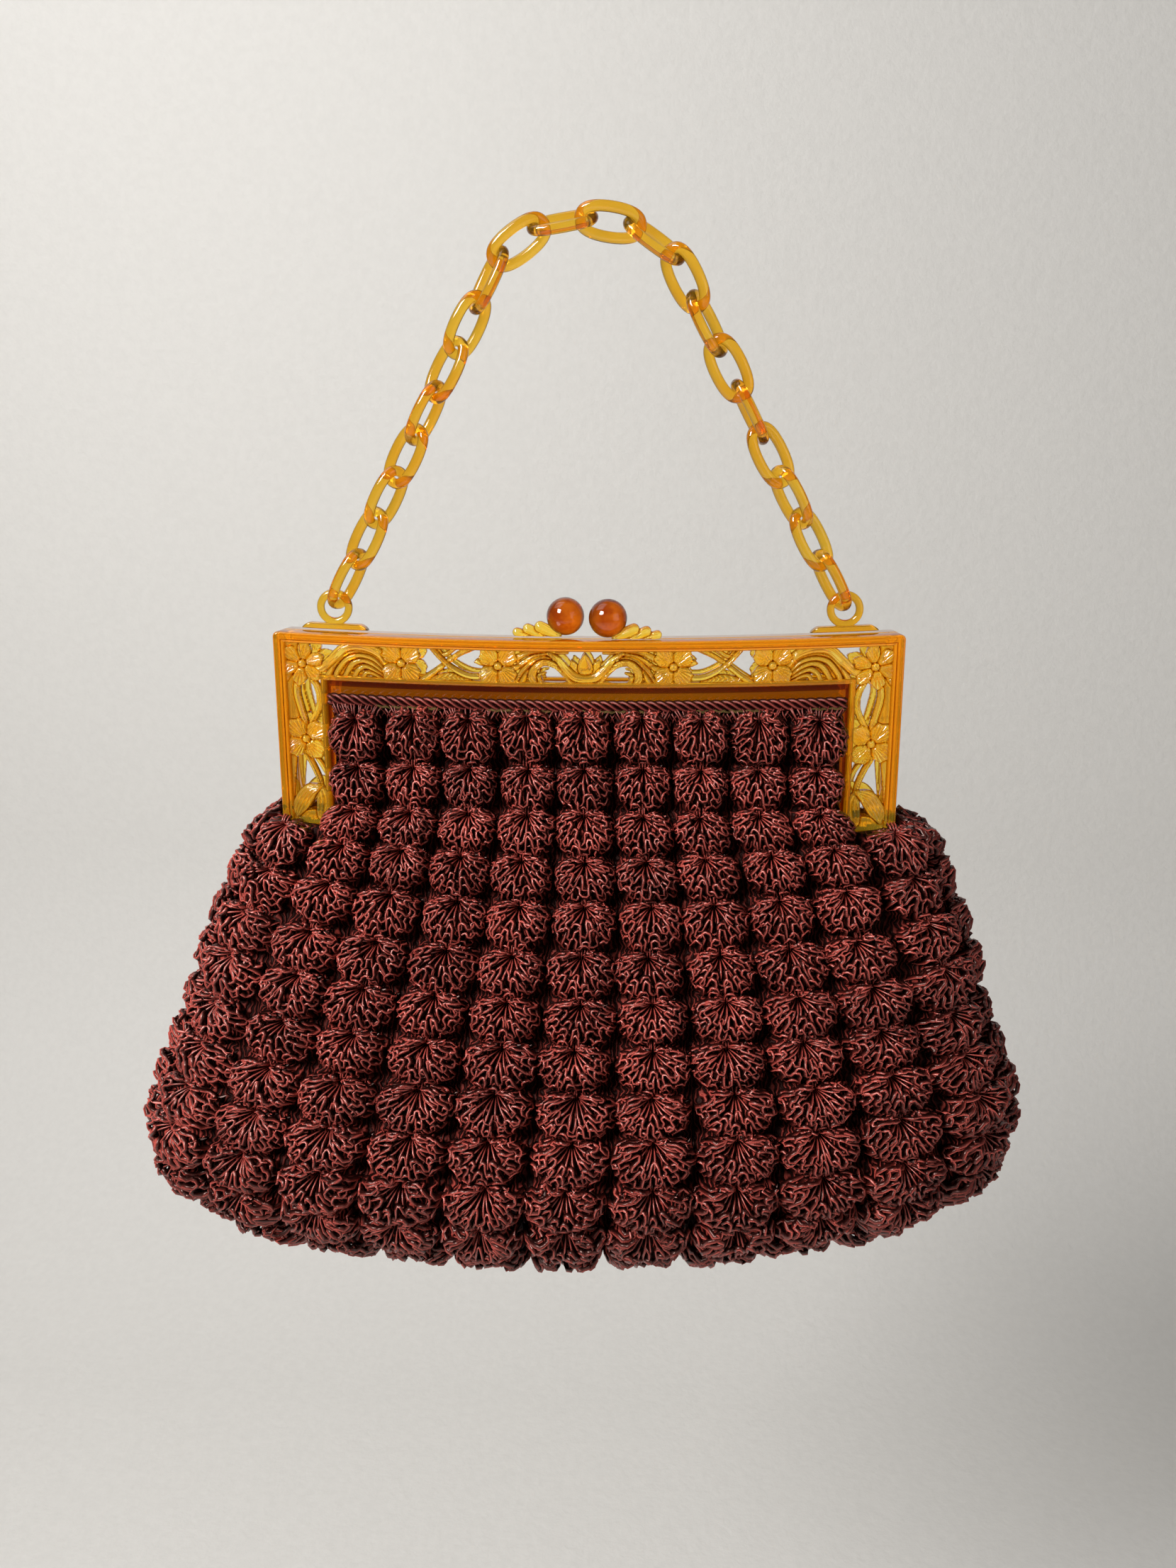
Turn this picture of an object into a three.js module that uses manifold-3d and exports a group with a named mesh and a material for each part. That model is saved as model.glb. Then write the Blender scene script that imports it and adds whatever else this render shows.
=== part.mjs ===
// A crocheted evening purse, closed and hanging from its chain. Millimetres, +Z up, front towards -Y.
// The origin is the middle of the chain, where a hand holds it. Frame, knobs, rings and pouch are
// built about the top edge of the frame, and the whole body hangs below the origin on the chain.
import * as THREE from 'three';
import { mergeVertices } from 'three/addons/utils/BufferGeometryUtils.js';
import Module from 'manifold-3d';

const wasm = await Module();
wasm.setup();

// Chain of oval links.
const LINK_LENGTH = 17.5;
const LINK_WIDTH = 9.7;
const LINK_WIRE = 2.7;
const LINK_GAP = 0.45;
const LINKS_PER_SIDE = 8;
const TOP_SLOPES = [9, 35]; // degrees off level of the two links on each side of the hand
// Turn of each link about the chain, in degrees, from the left ring to the right one.
const LINK_TURNS = [
  65, -30, 50, -25, 65, -35, 40, -60, 28, -62,
  28, -62, 28, -60, 14, 84, -20, 55, -35, 66,
];

// Rings that carry the chain, each on a tab along the top of the back half.
const RING_X = 66.2;
const RING_Y = 3.7;
const RING_HEIGHT = 6.0;
const RING_RADIUS = 3.7;
const RING_WIRE = 2.0;
const TAB_LENGTH = 17.4;
const TAB_HEIGHT = 1.9;
const SEAT = 0.3; // clearance wherever two pieces meet

// Frame: two rectangular halves, each a rim, a pierced floral band, an inner bar and a sewing ledge.
const FRAME_HALF_WIDTH = 80;
const LEG_END = -51.2;
const BOW = 2.2; // sag of the old top bar at mid span
const RIM = { side: 2.9, top: 2.7, front: -7.2, back: -0.2 };
const BAND = { side: 8.8, top: 8.0 };
const BAR = { side: 1.7, top: 2.4, front: -6.9, back: -3.4 };
const LEDGE = { side: 6.6, top: 7.6, front: -4.6, back: -2.8 };
const RELIEF = { bloom: -7.2, stem: -6.3, plain: -5.5, back: -4.2 };
const PIN = { z: -47.3, x: 73.1, radius: 1.0, length: 7.4, lug: 3.4, bore: 1.3 };

// Clasp: two balls that snap past each other, each on a scalloped leaf.
const BALL_RADIUS = 4.9;
const BALL_X = 5.6;
const BALL_Y = 2.6;
const BALL_HEIGHT = 3.3;

// Pouch of raised crochet bobbles: columns run round it, rows run down it.
const COLUMNS = { front: 9, side: 3 };
const ROWS = 14;
const SLIT_ROWS = 3; // rows above the hinge, where the sides are open
const WALL = 2.0;
const BOBBLE = 4.6;
const SPLIT = { across: [0, 0.2, 0.8], down: [0, 0.58] }; // steps within one bobble, its edges first

const amber = { color: 0xd98a16, roughness: 0.18, metalness: 0 };
const deepAmber = { color: 0xb4551a, roughness: 0.14, metalness: 0 };
const crochet = { color: 0x5c201d, roughness: 0.45, metalness: 0 };
const brass = { color: 0xa88a52, roughness: 0.4, metalness: 1 };

const radians = THREE.MathUtils.degToRad;

// Drops the normals and texture coordinates and welds shared corners.
function weld(geometry) {
  const bare = geometry.clone();
  bare.deleteAttribute('normal');
  bare.deleteAttribute('uv');
  return mergeVertices(bare, 1e-4);
}

function solid(geometry) {
  const bare = weld(geometry);
  return new wasm.Manifold(new wasm.Mesh({
    numProp: 3,
    vertProperties: new Float32Array(bare.attributes.position.array),
    triVerts: new Uint32Array(bare.index.array),
  }));
}

function fuse(geometries) {
  let whole = solid(geometries[0]);
  for (const geometry of geometries.slice(1)) {
    whole = whole.add(solid(geometry));
  }
  return whole;
}

function geometryOf(whole) {
  const { vertProperties, triVerts } = whole.asOriginal().simplify(0.04).getMesh();
  return indexed(vertProperties, triVerts);
}

function indexed(positions, triangles) {
  const geometry = new THREE.BufferGeometry();
  geometry.setAttribute('position', new THREE.Float32BufferAttribute(positions, 3));
  geometry.setIndex([...triangles]);
  return geometry;
}

function piece(name, geometry, look) {
  const flat = geometry.toNonIndexed();
  flat.computeVertexNormals();
  const mesh = new THREE.Mesh(flat, new THREE.MeshStandardMaterial(look));
  mesh.name = name;
  return mesh;
}

// A flat plate with the given outline in X and Z, between two depths in Y.
function plate(outline, front, back) {
  const shape = new THREE.Shape(outline.map(([x, z]) => new THREE.Vector2(x, z)));
  const geometry = new THREE.ExtrudeGeometry(shape, { depth: back - front, bevelEnabled: false });
  return geometry.rotateX(Math.PI / 2).translate(0, back, 0);
}

// A stem or leaf: a curved strip of tapering width along a path in X and Z.
function strip(path, width) {
  const steps = 3;
  const curve = new THREE.SplineCurve(path.map(([x, z]) => new THREE.Vector2(x, z)));
  const near = [];
  const far = [];
  for (let step = 0; step <= steps; step++) {
    const t = step / steps;
    const at = curve.getPoint(t);
    const along = curve.getTangent(t);
    const half = (width[0] + (width[1] - width[0]) * t) / 2;
    near.push([at.x - along.y * half, at.y + along.x * half]);
    far.push([at.x + along.y * half, at.y - along.x * half]);
  }
  return plate([...near, ...far.reverse()], RELIEF.stem, RELIEF.back);
}

// A flower: broad petals with notches between them, rising to a bead in the middle.
function flower(x, z, petals, reach, notch, turn) {
  const outline = [];
  for (let petal = 0; petal < petals; petal++) {
    const start = turn + (petal * 2 * Math.PI) / petals;
    for (const [share, radius] of [[0, notch], [0.3, reach], [0.7, reach]]) {
      const angle = start + (share * 2 * Math.PI) / petals;
      outline.push([x + radius * Math.cos(angle), z + radius * Math.sin(angle)]);
    }
  }
  const count = outline.length;
  const positions = [];
  for (const depth of [RELIEF.back, RELIEF.stem]) {
    for (const [px, pz] of outline) {
      positions.push(px, depth, pz);
    }
  }
  positions.push(x, RELIEF.back, z, x, RELIEF.bloom, z);
  const triangles = [];
  for (let i = 0; i < count; i++) {
    const j = (i + 1) % count;
    triangles.push(i, j, 2 * count);
    triangles.push(i, count + i, j, j, count + i, count + j);
    triangles.push(count + i, 2 * count + 1, count + j);
  }
  return indexed(positions, triangles.reverse());
}

// Sag of the top bar at a distance from the middle.
function bow(x) {
  return -BOW * (1 - (x / FRAME_HALF_WIDTH) ** 2);
}

// A band that runs up one leg, across the top and down the other, inset from the frame's outline.
function arch(inset, band) {
  const outerX = FRAME_HALF_WIDTH - inset.side;
  const innerX = outerX - band.side;
  const spans = 6;
  const outer = [[-outerX, LEG_END]];
  const inner = [[-innerX, LEG_END]];
  for (let span = 0; span <= spans; span++) {
    const across = -1 + (2 * span) / spans;
    outer.push([across * outerX, bow(across * outerX) - inset.top]);
    inner.push([across * innerX, bow(across * innerX) - inset.top - band.top]);
  }
  outer.push([outerX, LEG_END]);
  inner.push([innerX, LEG_END]);
  return plate([...outer, ...inner.reverse()], band.front, band.back);
}

// Ornament of the right half of the top bar: distance from the middle, height about the band's middle.
const BAR_STEMS = [
  { path: [[0, -3.3], [3.6, -2.4], [6.4, 1.0], [8.4, 2.6]], width: [1.6, 1.4] },
  { path: [[4.0, -4.1], [7.2, 0.4], [11.4, 1.4], [14.4, -1.2], [13.4, -4.2]], width: [1.5, 2.2] },
  { path: [[6.6, 4.2], [12, 2.9], [16, 0.6], [20, -2.2]], width: [1.5, 1.5] },
  { path: [[13.0, 0.4], [16.4, -2.0], [18.8, -4.3]], width: [1.2, 1.6] },
  { path: [[24.5, -2.2], [30, -2.7], [34, -1.2], [39.0, 4.4]], width: [1.6, 1.3] },
  { path: [[29.5, 4.2], [33, 3.0], [36.2, 0.2], [41.5, -4.3]], width: [1.2, 1.5] },
];
// Ornament of the right leg: distance from the middle, height below the frame's top.
const LEG_STEMS = [
  { path: [[74.2, -12], [75.4, -17], [73.2, -22], [72.2, -25]], width: [1.4, 1.4] },
  { path: [[72.4, -11.5], [69.4, -15.2], [70.4, -19.6], [72.6, -24]], width: [1.3, 1.5] },
  { path: [[68.0, -17.4], [69.6, -20.4], [72.4, -23.4]], width: [1.4, 1.2] },
  { path: [[73.8, -31], [70.9, -35.4], [69.6, -40.4], [70.4, -43]], width: [1.3, 1.7] },
  { path: [[70.4, -41.6], [73.4, -43.2], [76.6, -46.8]], width: [3.0, 1.6] },
  { path: [[69.6, -41.2], [69.4, -44], [69.9, -48]], width: [2.2, 3.4] },
];
const WAVE_LEAF = [[50, -4.3], [50, 1.2], [54.6, 4.2], [61, 4.2], [65.4, 0], [70, -2.4], [72, -4.3]];
const LOTUS = [[0, 3.7], [1.4, 1.7], [3.3, 2.4], [3.4, 0.2], [1.9, -2.6]];
const FLOWERS = [
  { x: 22.4, z: null, petals: 4, reach: 5.7, notch: 3.1, turn: 0 },
  { x: 47.3, z: null, petals: 4, reach: 5.7, notch: 3.1, turn: 0 },
  { x: 73.4, z: -8.0, petals: 6, reach: 6.2, notch: 4.6, turn: 0.2 },
  { x: 72.9, z: -27.8, petals: 4, reach: 6.4, notch: 3.6, turn: 0 },
];

function bandHeight(x) {
  return bow(x) - RIM.top - BAND.top / 2;
}

// All the ornament of one side of a half: stems, leaves, flowers and the plain recess down the leg.
function ornament(side) {
  const onBar = ([x, w]) => [side * x, bandHeight(x) + w];
  const onLeg = ([x, z]) => [side * x, z];
  const shapes = [];
  for (const { path, width } of BAR_STEMS) {
    shapes.push(strip(path.map(onBar), width));
  }
  for (const { path, width } of LEG_STEMS) {
    shapes.push(strip(path.map(onLeg), width));
  }
  for (const { x, z, petals, reach, notch, turn } of FLOWERS) {
    const facing = side > 0 ? turn : Math.PI - turn;
    shapes.push(flower(side * x, z ?? bandHeight(x), petals, reach, notch, facing));
  }
  shapes.push(plate(WAVE_LEAF.map(onBar), RELIEF.stem, RELIEF.back));
  const recess = [[73.9, LEG_END], [77.4, LEG_END], [77.4, -2.5], [71.5, -2.5], [75.4, -9]];
  shapes.push(plate(recess.map(onLeg), RELIEF.plain, RELIEF.back));
  const foot = [[66.9, LEG_END], [77.4, LEG_END], [77.4, -46.4], [66.9, -46.4]];
  shapes.push(plate(foot.map(onLeg), RELIEF.plain, RELIEF.back));
  return shapes;
}

// One half of the frame, built as the front half, with its hinge lugs reaching back past the middle.
function frameHalf(lugX) {
  const shapes = [
    arch({ side: 0, top: 0 }, RIM),
    arch({ side: RIM.side + BAND.side, top: RIM.top + BAND.top }, BAR),
    arch({ side: RIM.side + BAND.side + 0.6, top: RIM.top + BAND.top + 1.2 }, LEDGE),
  ];
  const lotus = [...LOTUS, ...LOTUS.slice(1).reverse().map(([x, w]) => [-x, w])];
  shapes.push(plate(lotus.map(([x, w]) => [x, bandHeight(x) + w]), RELIEF.bloom, RELIEF.back));
  for (const side of [-1, 1]) {
    shapes.push(...ornament(side));
    const lug = new THREE.BoxGeometry(PIN.lug, 7.4, 5.4);
    shapes.push(lug.translate(side * lugX, -1.3, PIN.z));
  }
  let half = fuse(shapes);
  for (const side of [-1, 1]) {
    const bore = new THREE.CylinderGeometry(PIN.bore, PIN.bore, 9, 8).rotateZ(Math.PI / 2);
    half = half.subtract(solid(bore.translate(side * lugX, 0, PIN.z)));
  }
  return geometryOf(half);
}

// Turns a front piece into the matching back piece, half a turn about the vertical.
function turnedRound(geometry) {
  return geometry.clone().rotateZ(Math.PI);
}

// A ball on its leaf, built for the right-hand knob: three rounded lobes step down outwards along the bar.
function knob() {
  const shapes = [new THREE.SphereGeometry(BALL_RADIUS, 10, 6).translate(BALL_X, 0, BALL_HEIGHT)];
  const lobes = [
    { x: 11.9, z: 0.3, radius: 2.0 },
    { x: 15.0, z: 0, radius: 1.9 },
    { x: 18.0, z: -0.5, radius: 1.7 },
  ];
  for (const { x, z, radius } of lobes) {
    const lobe = new THREE.SphereGeometry(radius, 6, 4);
    shapes.push(lobe.rotateY(radians(-25)).scale(0.85, 1.1, 1).translate(x, 0, z));
  }
  const foot = [[4, SEAT], [18.2, SEAT], [18.2, 1.1], [9.5, 2.6], [4, 2.6]];
  shapes.push(plate(foot.map(([x, z]) => [x, z + bow(x)]), -2.0, 2.0));
  const under = plate([[-1, -9], [20, -9], [20, SEAT + bow(20)], [-1, SEAT + bow(0)]], -9, 9);
  return geometryOf(fuse(shapes).subtract(solid(under)));
}

// A ring standing on its chamfered tab, which follows the top edge of the frame.
function ringOnTab(side) {
  const hoop = new THREE.TorusGeometry(RING_RADIUS, RING_WIRE / 2, 5, 12).rotateX(Math.PI / 2);
  const ends = [-TAB_LENGTH / 2, TAB_LENGTH / 2];
  const low = ends.map((d) => [d, SEAT]);
  const high = ends.map((d) => [d * 0.75, TAB_HEIGHT]).reverse();
  const outline = [...low, ...high].map(([d, z]) => [side * RING_X + d, z + bow(RING_X + side * d)]);
  const seat = bow(RING_X) + RING_HEIGHT;
  return geometryOf(fuse([plate(outline, -2.2, 2.2), hoop.translate(side * RING_X, 0, seat)]));
}

// One oval link lying along X: a round hoop pulled apart into two bends and two straight sides.
function link() {
  const hoop = new THREE.TorusGeometry((LINK_WIDTH - LINK_WIRE) / 2, LINK_WIRE / 2, 5, 10);
  const place = hoop.attributes.position;
  const pull = (LINK_LENGTH - LINK_WIDTH) / 2;
  for (let i = 0; i < place.count; i++) {
    place.setX(i, place.getX(i) + pull * Math.sign(place.getX(i)));
  }
  return weld(hoop);
}

// Points where the links meet: an arch over the hand, then a straight run down to each ring, whose
// inner edge the last link pulls on. Gives the points from left to right and the height of the rings.
function hangChain() {
  const pitch = LINK_LENGTH - 2 * LINK_WIRE - LINK_GAP;
  const right = [new THREE.Vector3(0, 0, 0)];
  for (const slope of TOP_SLOPES) {
    const step = new THREE.Vector3(Math.cos(radians(slope)), 0, -Math.sin(radians(slope)));
    right.push(right.at(-1).clone().addScaledVector(step, pitch));
  }
  const shoulder = right.at(-1);
  const pull = LINKS_PER_SIDE * pitch + RING_RADIUS - RING_WIRE / 2 - LINK_GAP / 2;
  const drop = Math.sqrt(pull ** 2 - (RING_X - shoulder.x) ** 2 - RING_Y ** 2);
  const ring = new THREE.Vector3(RING_X, RING_Y, shoulder.z - drop);
  for (let step = 1; step <= LINKS_PER_SIDE; step++) {
    right.push(shoulder.clone().lerp(ring, (step * pitch) / pull));
  }
  const left = right.slice(1).reverse().map((p) => new THREE.Vector3(-p.x, p.y, p.z));
  return { stations: [...left, ...right], ringHeight: ring.z };
}

// Shape of the pouch at the middle of each row and at both ends: the row's place counted in rows from
// the top edge, its height, the outer half depth, half width and lean, the pitch of the front columns,
// the squareness of the section, how far the sides lie above the middle, and the rise from left to right.
const POUCH = [
  { row: 0, z: -18.1, depth: 7, width: 88, lean: 0, pitch: 14.6, square: 6, lift: 0, rise: 0 },
  { row: 0.3, z: -24, depth: 7.2, width: 88, lean: 0, pitch: 14.7, square: 6, lift: 0, rise: 0 },
  { row: 1.2, z: -35.2, depth: 7.8, width: 88, lean: 0, pitch: 14.7, square: 6, lift: 0, rise: 0 },
  { row: 2.1, z: -46, depth: 10.6, width: 87, lean: 0, pitch: 14.8, square: 6, lift: 1.5, rise: 0 },
  { row: 3.1, z: -57.2, depth: 13.4, width: 86, lean: 0.3, pitch: 15.6, square: 5, lift: 6.5, rise: 0 },
  { row: 4.1, z: -68.6, depth: 16.8, width: 87.5, lean: 0.6, pitch: 16.4, square: 3.2, lift: 9, rise: 0 },
  { row: 5.1, z: -80.4, depth: 21.2, width: 93.5, lean: 0, pitch: 17.2, square: 2.7, lift: 9.2, rise: 0 },
  { row: 6.2, z: -92.4, depth: 25.7, width: 99, lean: -0.4, pitch: 18.2, square: 2.4, lift: 8.4, rise: 0 },
  { row: 7.3, z: -104.2, depth: 29.8, width: 103, lean: -1, pitch: 19, square: 2.3, lift: 6, rise: 0.5 },
  { row: 8.4, z: -116, depth: 33.6, width: 107.5, lean: -1.2, pitch: 19.8, square: 2.3, lift: 5.3, rise: 1 },
  { row: 9.5, z: -128.1, depth: 36.2, width: 112, lean: -2, pitch: 20.6, square: 2.3, lift: 5.5, rise: 1.6 },
  { row: 10.6, z: -141, depth: 36.4, width: 114.5, lean: -3.2, pitch: 21.3, square: 2.3, lift: 6.5, rise: 2.4 },
  { row: 11.7, z: -152.6, depth: 31.4, width: 112, lean: -4, pitch: 21, square: 2.3, lift: 7.5, rise: 3 },
  { row: 12.6, z: -162, depth: 20.8, width: 103, lean: -4.4, pitch: 19.6, square: 2.3, lift: 8, rise: 3 },
  { row: 13.5, z: -166.6, depth: 7.6, width: 91, lean: -4.6, pitch: 17.6, square: 2.3, lift: 8, rise: 3 },
  { row: 14, z: -167.4, depth: 2.2, width: 86, lean: -4.6, pitch: 16.6, square: 2.3, lift: 8, rise: 3 },
];

// Section of the pouch at any row, as a smooth curve through the table.
function sectionAt(row) {
  let k = 0;
  while (k < POUCH.length - 2 && POUCH[k + 1].row < row) {
    k++;
  }
  const [a, b] = [POUCH[k], POUCH[k + 1]];
  const before = POUCH[Math.max(k - 1, 0)];
  const after = POUCH[Math.min(k + 2, POUCH.length - 1)];
  const gap = b.row - a.row;
  const t = (row - a.row) / gap;
  const section = {};
  for (const key of Object.keys(a)) {
    const leave = ((b[key] - before[key]) / (b.row - before.row)) * gap;
    const arrive = ((after[key] - a[key]) / (after.row - a.row)) * gap;
    const rise = b[key] - a[key];
    const square = 3 * rise - 2 * leave - arrive;
    const cube = leave + arrive - 2 * rise;
    section[key] = a[key] + t * (leave + t * (square + t * cube));
  }
  return section;
}

// Point of the pouch's ground at a column and row. Columns run from the front's left edge, to the right,
// round the right side, back along the rear and round the left side.
function ground(column, row) {
  const { front, side } = COLUMNS;
  const around = front + side;
  const rear = column >= around;
  const place = rear ? column - around : column;
  const { z, depth, width, lean, pitch, square, lift, rise } = sectionAt(row);
  const edge = Math.asin(Math.min(((front / 2) * pitch) / width, 1) ** (square / 2));
  let x = (place - front / 2) * pitch;
  let y = -depth * (1 - Math.abs(x / width) ** square) ** (1 / square);
  if (place > front) {
    const angle = edge + ((place - front) / side) * (Math.PI - 2 * edge);
    x = width * Math.sin(angle) ** (2 / square);
    y = -depth * Math.sign(Math.cos(angle)) * Math.abs(Math.cos(angle)) ** (2 / square);
  }
  const turn = rear ? -1 : 1;
  const across = (turn * x) / width;
  return new THREE.Vector3(turn * x + lean, turn * y, z + lift * across ** 2 + rise * across);
}

function outward(column, row) {
  const total = 2 * (COLUMNS.front + COLUMNS.side);
  const step = 0.04;
  const up = Math.max(row - step, 0);
  const down = Math.min(row + step, ROWS);
  const along = ground((column + step) % total, row).sub(ground((column - step + total) % total, row));
  const fall = ground(column, down).sub(ground(column, up));
  return fall.cross(along).normalize();
}

// The pouch: an outer skin of bobbles over a plain inner skin, joined round the mouth.
function pouch() {
  const around = COLUMNS.front + COLUMNS.side;
  const columns = 2 * around;
  const wide = SPLIT.across.length;
  const tall = SPLIT.down.length;
  const positions = [];
  const triangles = [];
  const known = new Map();
  const corner = (key, make) => {
    if (!known.has(key)) {
      known.set(key, positions.length / 3);
      positions.push(...make().toArray());
    }
    return known.get(key);
  };
  const outer = (i, j) => {
    const wrapped = (i + columns * wide) % (columns * wide);
    return corner(`outer ${wrapped} ${j}`, () => {
      const column = Math.floor(wrapped / wide) + SPLIT.across[wrapped % wide];
      const row = Math.floor(j / tall) + SPLIT.down[j % tall];
      const loft = wrapped % wide === 0 || j % tall === 0 ? 0 : BOBBLE;
      return ground(column, row).addScaledVector(outward(column, row), loft);
    });
  };
  const inner = (i, j) => {
    const wrapped = (i + columns) % columns;
    const make = () => ground(wrapped, j).addScaledVector(outward(wrapped, j), -WALL);
    return corner(`inner ${wrapped} ${j}`, make);
  };
  const quad = (a, b, c, d) => triangles.push(a, b, c, a, c, d);
  const present = (i, j) => j >= SLIT_ROWS || (i + columns) % columns % around < COLUMNS.front;

  for (let i = 0; i < columns; i++) {
    for (let j = 0; j < ROWS; j++) {
      if (!present(i, j)) {
        continue;
      }
      for (let p = i * wide; p < (i + 1) * wide; p++) {
        for (let q = j * tall; q < (j + 1) * tall; q++) {
          quad(outer(p, q), outer(p, q + 1), outer(p + 1, q + 1), outer(p + 1, q));
        }
      }
      quad(inner(i, j), inner(i + 1, j), inner(i + 1, j + 1), inner(i, j + 1));
      if (j === 0 || !present(i, j - 1)) {
        hem(wide, (k) => outer((i + 1) * wide - k, j * tall), inner(i + 1, j), inner(i, j));
      }
      if (!present(i - 1, j)) {
        hem(tall, (k) => outer(i * wide, j * tall + k), inner(i, j), inner(i, j + 1));
      }
      if (!present(i + 1, j)) {
        hem(tall, (k) => outer((i + 1) * wide, (j + 1) * tall - k), inner(i + 1, j + 1), inner(i + 1, j));
      }
    }
  }
  // One cell's stretch of the mouth's edge, from the fine outer skin to the plain inner one.
  function hem(steps, edge, from, to) {
    for (let k = 0; k < steps; k++) {
      triangles.push(edge(k + 1), edge(k), k === 0 ? from : to);
    }
    triangles.push(edge(1), from, to);
  }
  // The bottom seam draws the front and back edges of each skin together.
  const zip = (at, count, half, row, flip) => {
    const first = -Math.floor(half / 2);
    for (let i = first; i < count / 2 - Math.ceil(half / 2); i++) {
      const mate = (n) => at(count - half - n, row);
      if (flip) {
        quad(at(i, row), mate(i), mate(i + 1), at(i + 1, row));
      } else {
        quad(at(i, row), at(i + 1, row), mate(i + 1), mate(i));
      }
    }
  };
  zip(outer, columns * wide, COLUMNS.side * wide, ROWS * tall, true);
  zip(inner, columns, COLUMNS.side, ROWS, false);
  return indexed(positions, triangles);
}

const purse = new THREE.Group();
const body = new THREE.Group();
purse.add(body);

// The chain, from the left ring over the hand to the right ring.
const { stations, ringHeight } = hangChain();
for (let i = 0; i + 1 < stations.length; i++) {
  const [from, to] = [stations[i], stations[i + 1]];
  const mesh = piece(`link_${String(i + 1).padStart(2, '0')}`, link(), amber);
  const along = to.clone().sub(from).normalize();
  const level = new THREE.Vector3(0, 1, 0);
  const face = level.addScaledVector(along, -level.dot(along)).normalize();
  face.applyAxisAngle(along, radians(LINK_TURNS[i]));
  const across = face.clone().cross(along);
  mesh.setRotationFromMatrix(new THREE.Matrix4().makeBasis(along, across, face));
  mesh.position.copy(from).add(to).multiplyScalar(0.5);
  purse.add(mesh);
}

// The body hangs from the rings.
body.position.z = ringHeight - RING_HEIGHT - bow(RING_X);

const lugStep = (PIN.lug + SEAT) / 2;
body.add(piece('frame_front', frameHalf(PIN.x - lugStep), amber));
body.add(piece('frame_back', turnedRound(frameHalf(PIN.x + lugStep)), amber));

const frontKnob = piece('clasp_knob_front', knob(), deepAmber);
frontKnob.position.y = -BALL_Y;
const backKnob = piece('clasp_knob_back', turnedRound(knob()), deepAmber);
backKnob.position.y = BALL_Y;
body.add(frontKnob, backKnob);

for (const [name, side] of [['left', -1], ['right', 1]]) {
  const ring = piece(`ring_${name}`, ringOnTab(side), amber);
  ring.position.y = RING_Y;
  const pin = piece(
    `hinge_pin_${name}`,
    weld(new THREE.CylinderGeometry(PIN.radius, PIN.radius, PIN.length, 8).rotateZ(Math.PI / 2)),
    brass,
  );
  pin.position.set(side * PIN.x, 0, PIN.z);
  body.add(ring, pin);
}
body.add(piece('pouch', pouch(), crochet));

export default purse;
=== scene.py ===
import math

import bpy
import numpy as np
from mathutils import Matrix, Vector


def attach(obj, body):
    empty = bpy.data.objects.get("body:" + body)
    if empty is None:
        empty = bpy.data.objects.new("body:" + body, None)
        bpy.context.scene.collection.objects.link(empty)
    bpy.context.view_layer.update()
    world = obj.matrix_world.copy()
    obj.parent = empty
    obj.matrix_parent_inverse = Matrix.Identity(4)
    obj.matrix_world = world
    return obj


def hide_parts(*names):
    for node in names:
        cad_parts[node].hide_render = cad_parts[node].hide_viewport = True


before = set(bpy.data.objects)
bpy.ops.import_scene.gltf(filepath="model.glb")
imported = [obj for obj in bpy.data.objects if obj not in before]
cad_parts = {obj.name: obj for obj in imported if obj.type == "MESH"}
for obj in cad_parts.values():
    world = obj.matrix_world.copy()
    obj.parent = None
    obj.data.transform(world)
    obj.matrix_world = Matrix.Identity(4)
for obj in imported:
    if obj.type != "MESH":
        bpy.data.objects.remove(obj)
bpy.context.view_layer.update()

MM = 0.001
rng = np.random.default_rng(26)

# Chain, as in the solids, in millimetres.
LINK_LENGTH, LINK_WIDTH, LINK_WIRE, LINK_GAP = 17.5, 9.7, 2.7, 0.45
LINKS_PER_SIDE = 8
TOP_SLOPES = (9, 35)
LINK_TURNS = (65, -30, 50, -25, 65, -35, 40, -60, 28, -62, 28, -62, 28, -60, 14, 84, -20, 55, -35, 66)
RING_X, RING_Y, RING_HEIGHT, RING_RADIUS, RING_WIRE = 66.2, 3.7, 6.0, 3.7, 2.0
TAB_LENGTH, TAB_DEPTH, TAB_HEIGHT, SEAT = 17.4, 4.4, 1.9, 0.3

# Frame half.
HALF_WIDTH, LEG_END, CORNER = 80.0, -51.2, 1.4
BOW, BOW_HIGH, BOW_LOW = 2.2, -20, -46      # sag of the top bar, and the heights between which it dies out
# Pierced band: the box it fills, and its distances out from the middle of the purse.
BAND_TOP, BAND_MIDDLE, BAND_UNDER, BAND_INNER, BAND_OUTER = -2.4, -6.7, -11.0, 68.0, 77.4
BAND_BACK, BAND_LOW, BAND_HIGH, LUG_BACK = 4.2, 4.8, 7.2, -2.4
CARVING_STEP = {"front": 0.19, "back": 0.27}
PIN_X, PIN_Z, LUG_STEP, LUG = 73.1, -47.3, 1.85, (1.7, 2.7)

# Clasp balls.
BALL_RADIUS, BALL_X, BALL_Y, BALL_HEIGHT = 4.9, 5.6, 2.6, 3.3

# Pouch: nine columns of bobbles on the front and the back, three round each side, fourteen rows.
FRONT_COLUMNS, SIDE_COLUMNS, ROWS, SLIT_ROWS = 9, 3, 14, 3
AROUND = FRONT_COLUMNS + SIDE_COLUMNS
COLUMNS = 2 * AROUND
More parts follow.
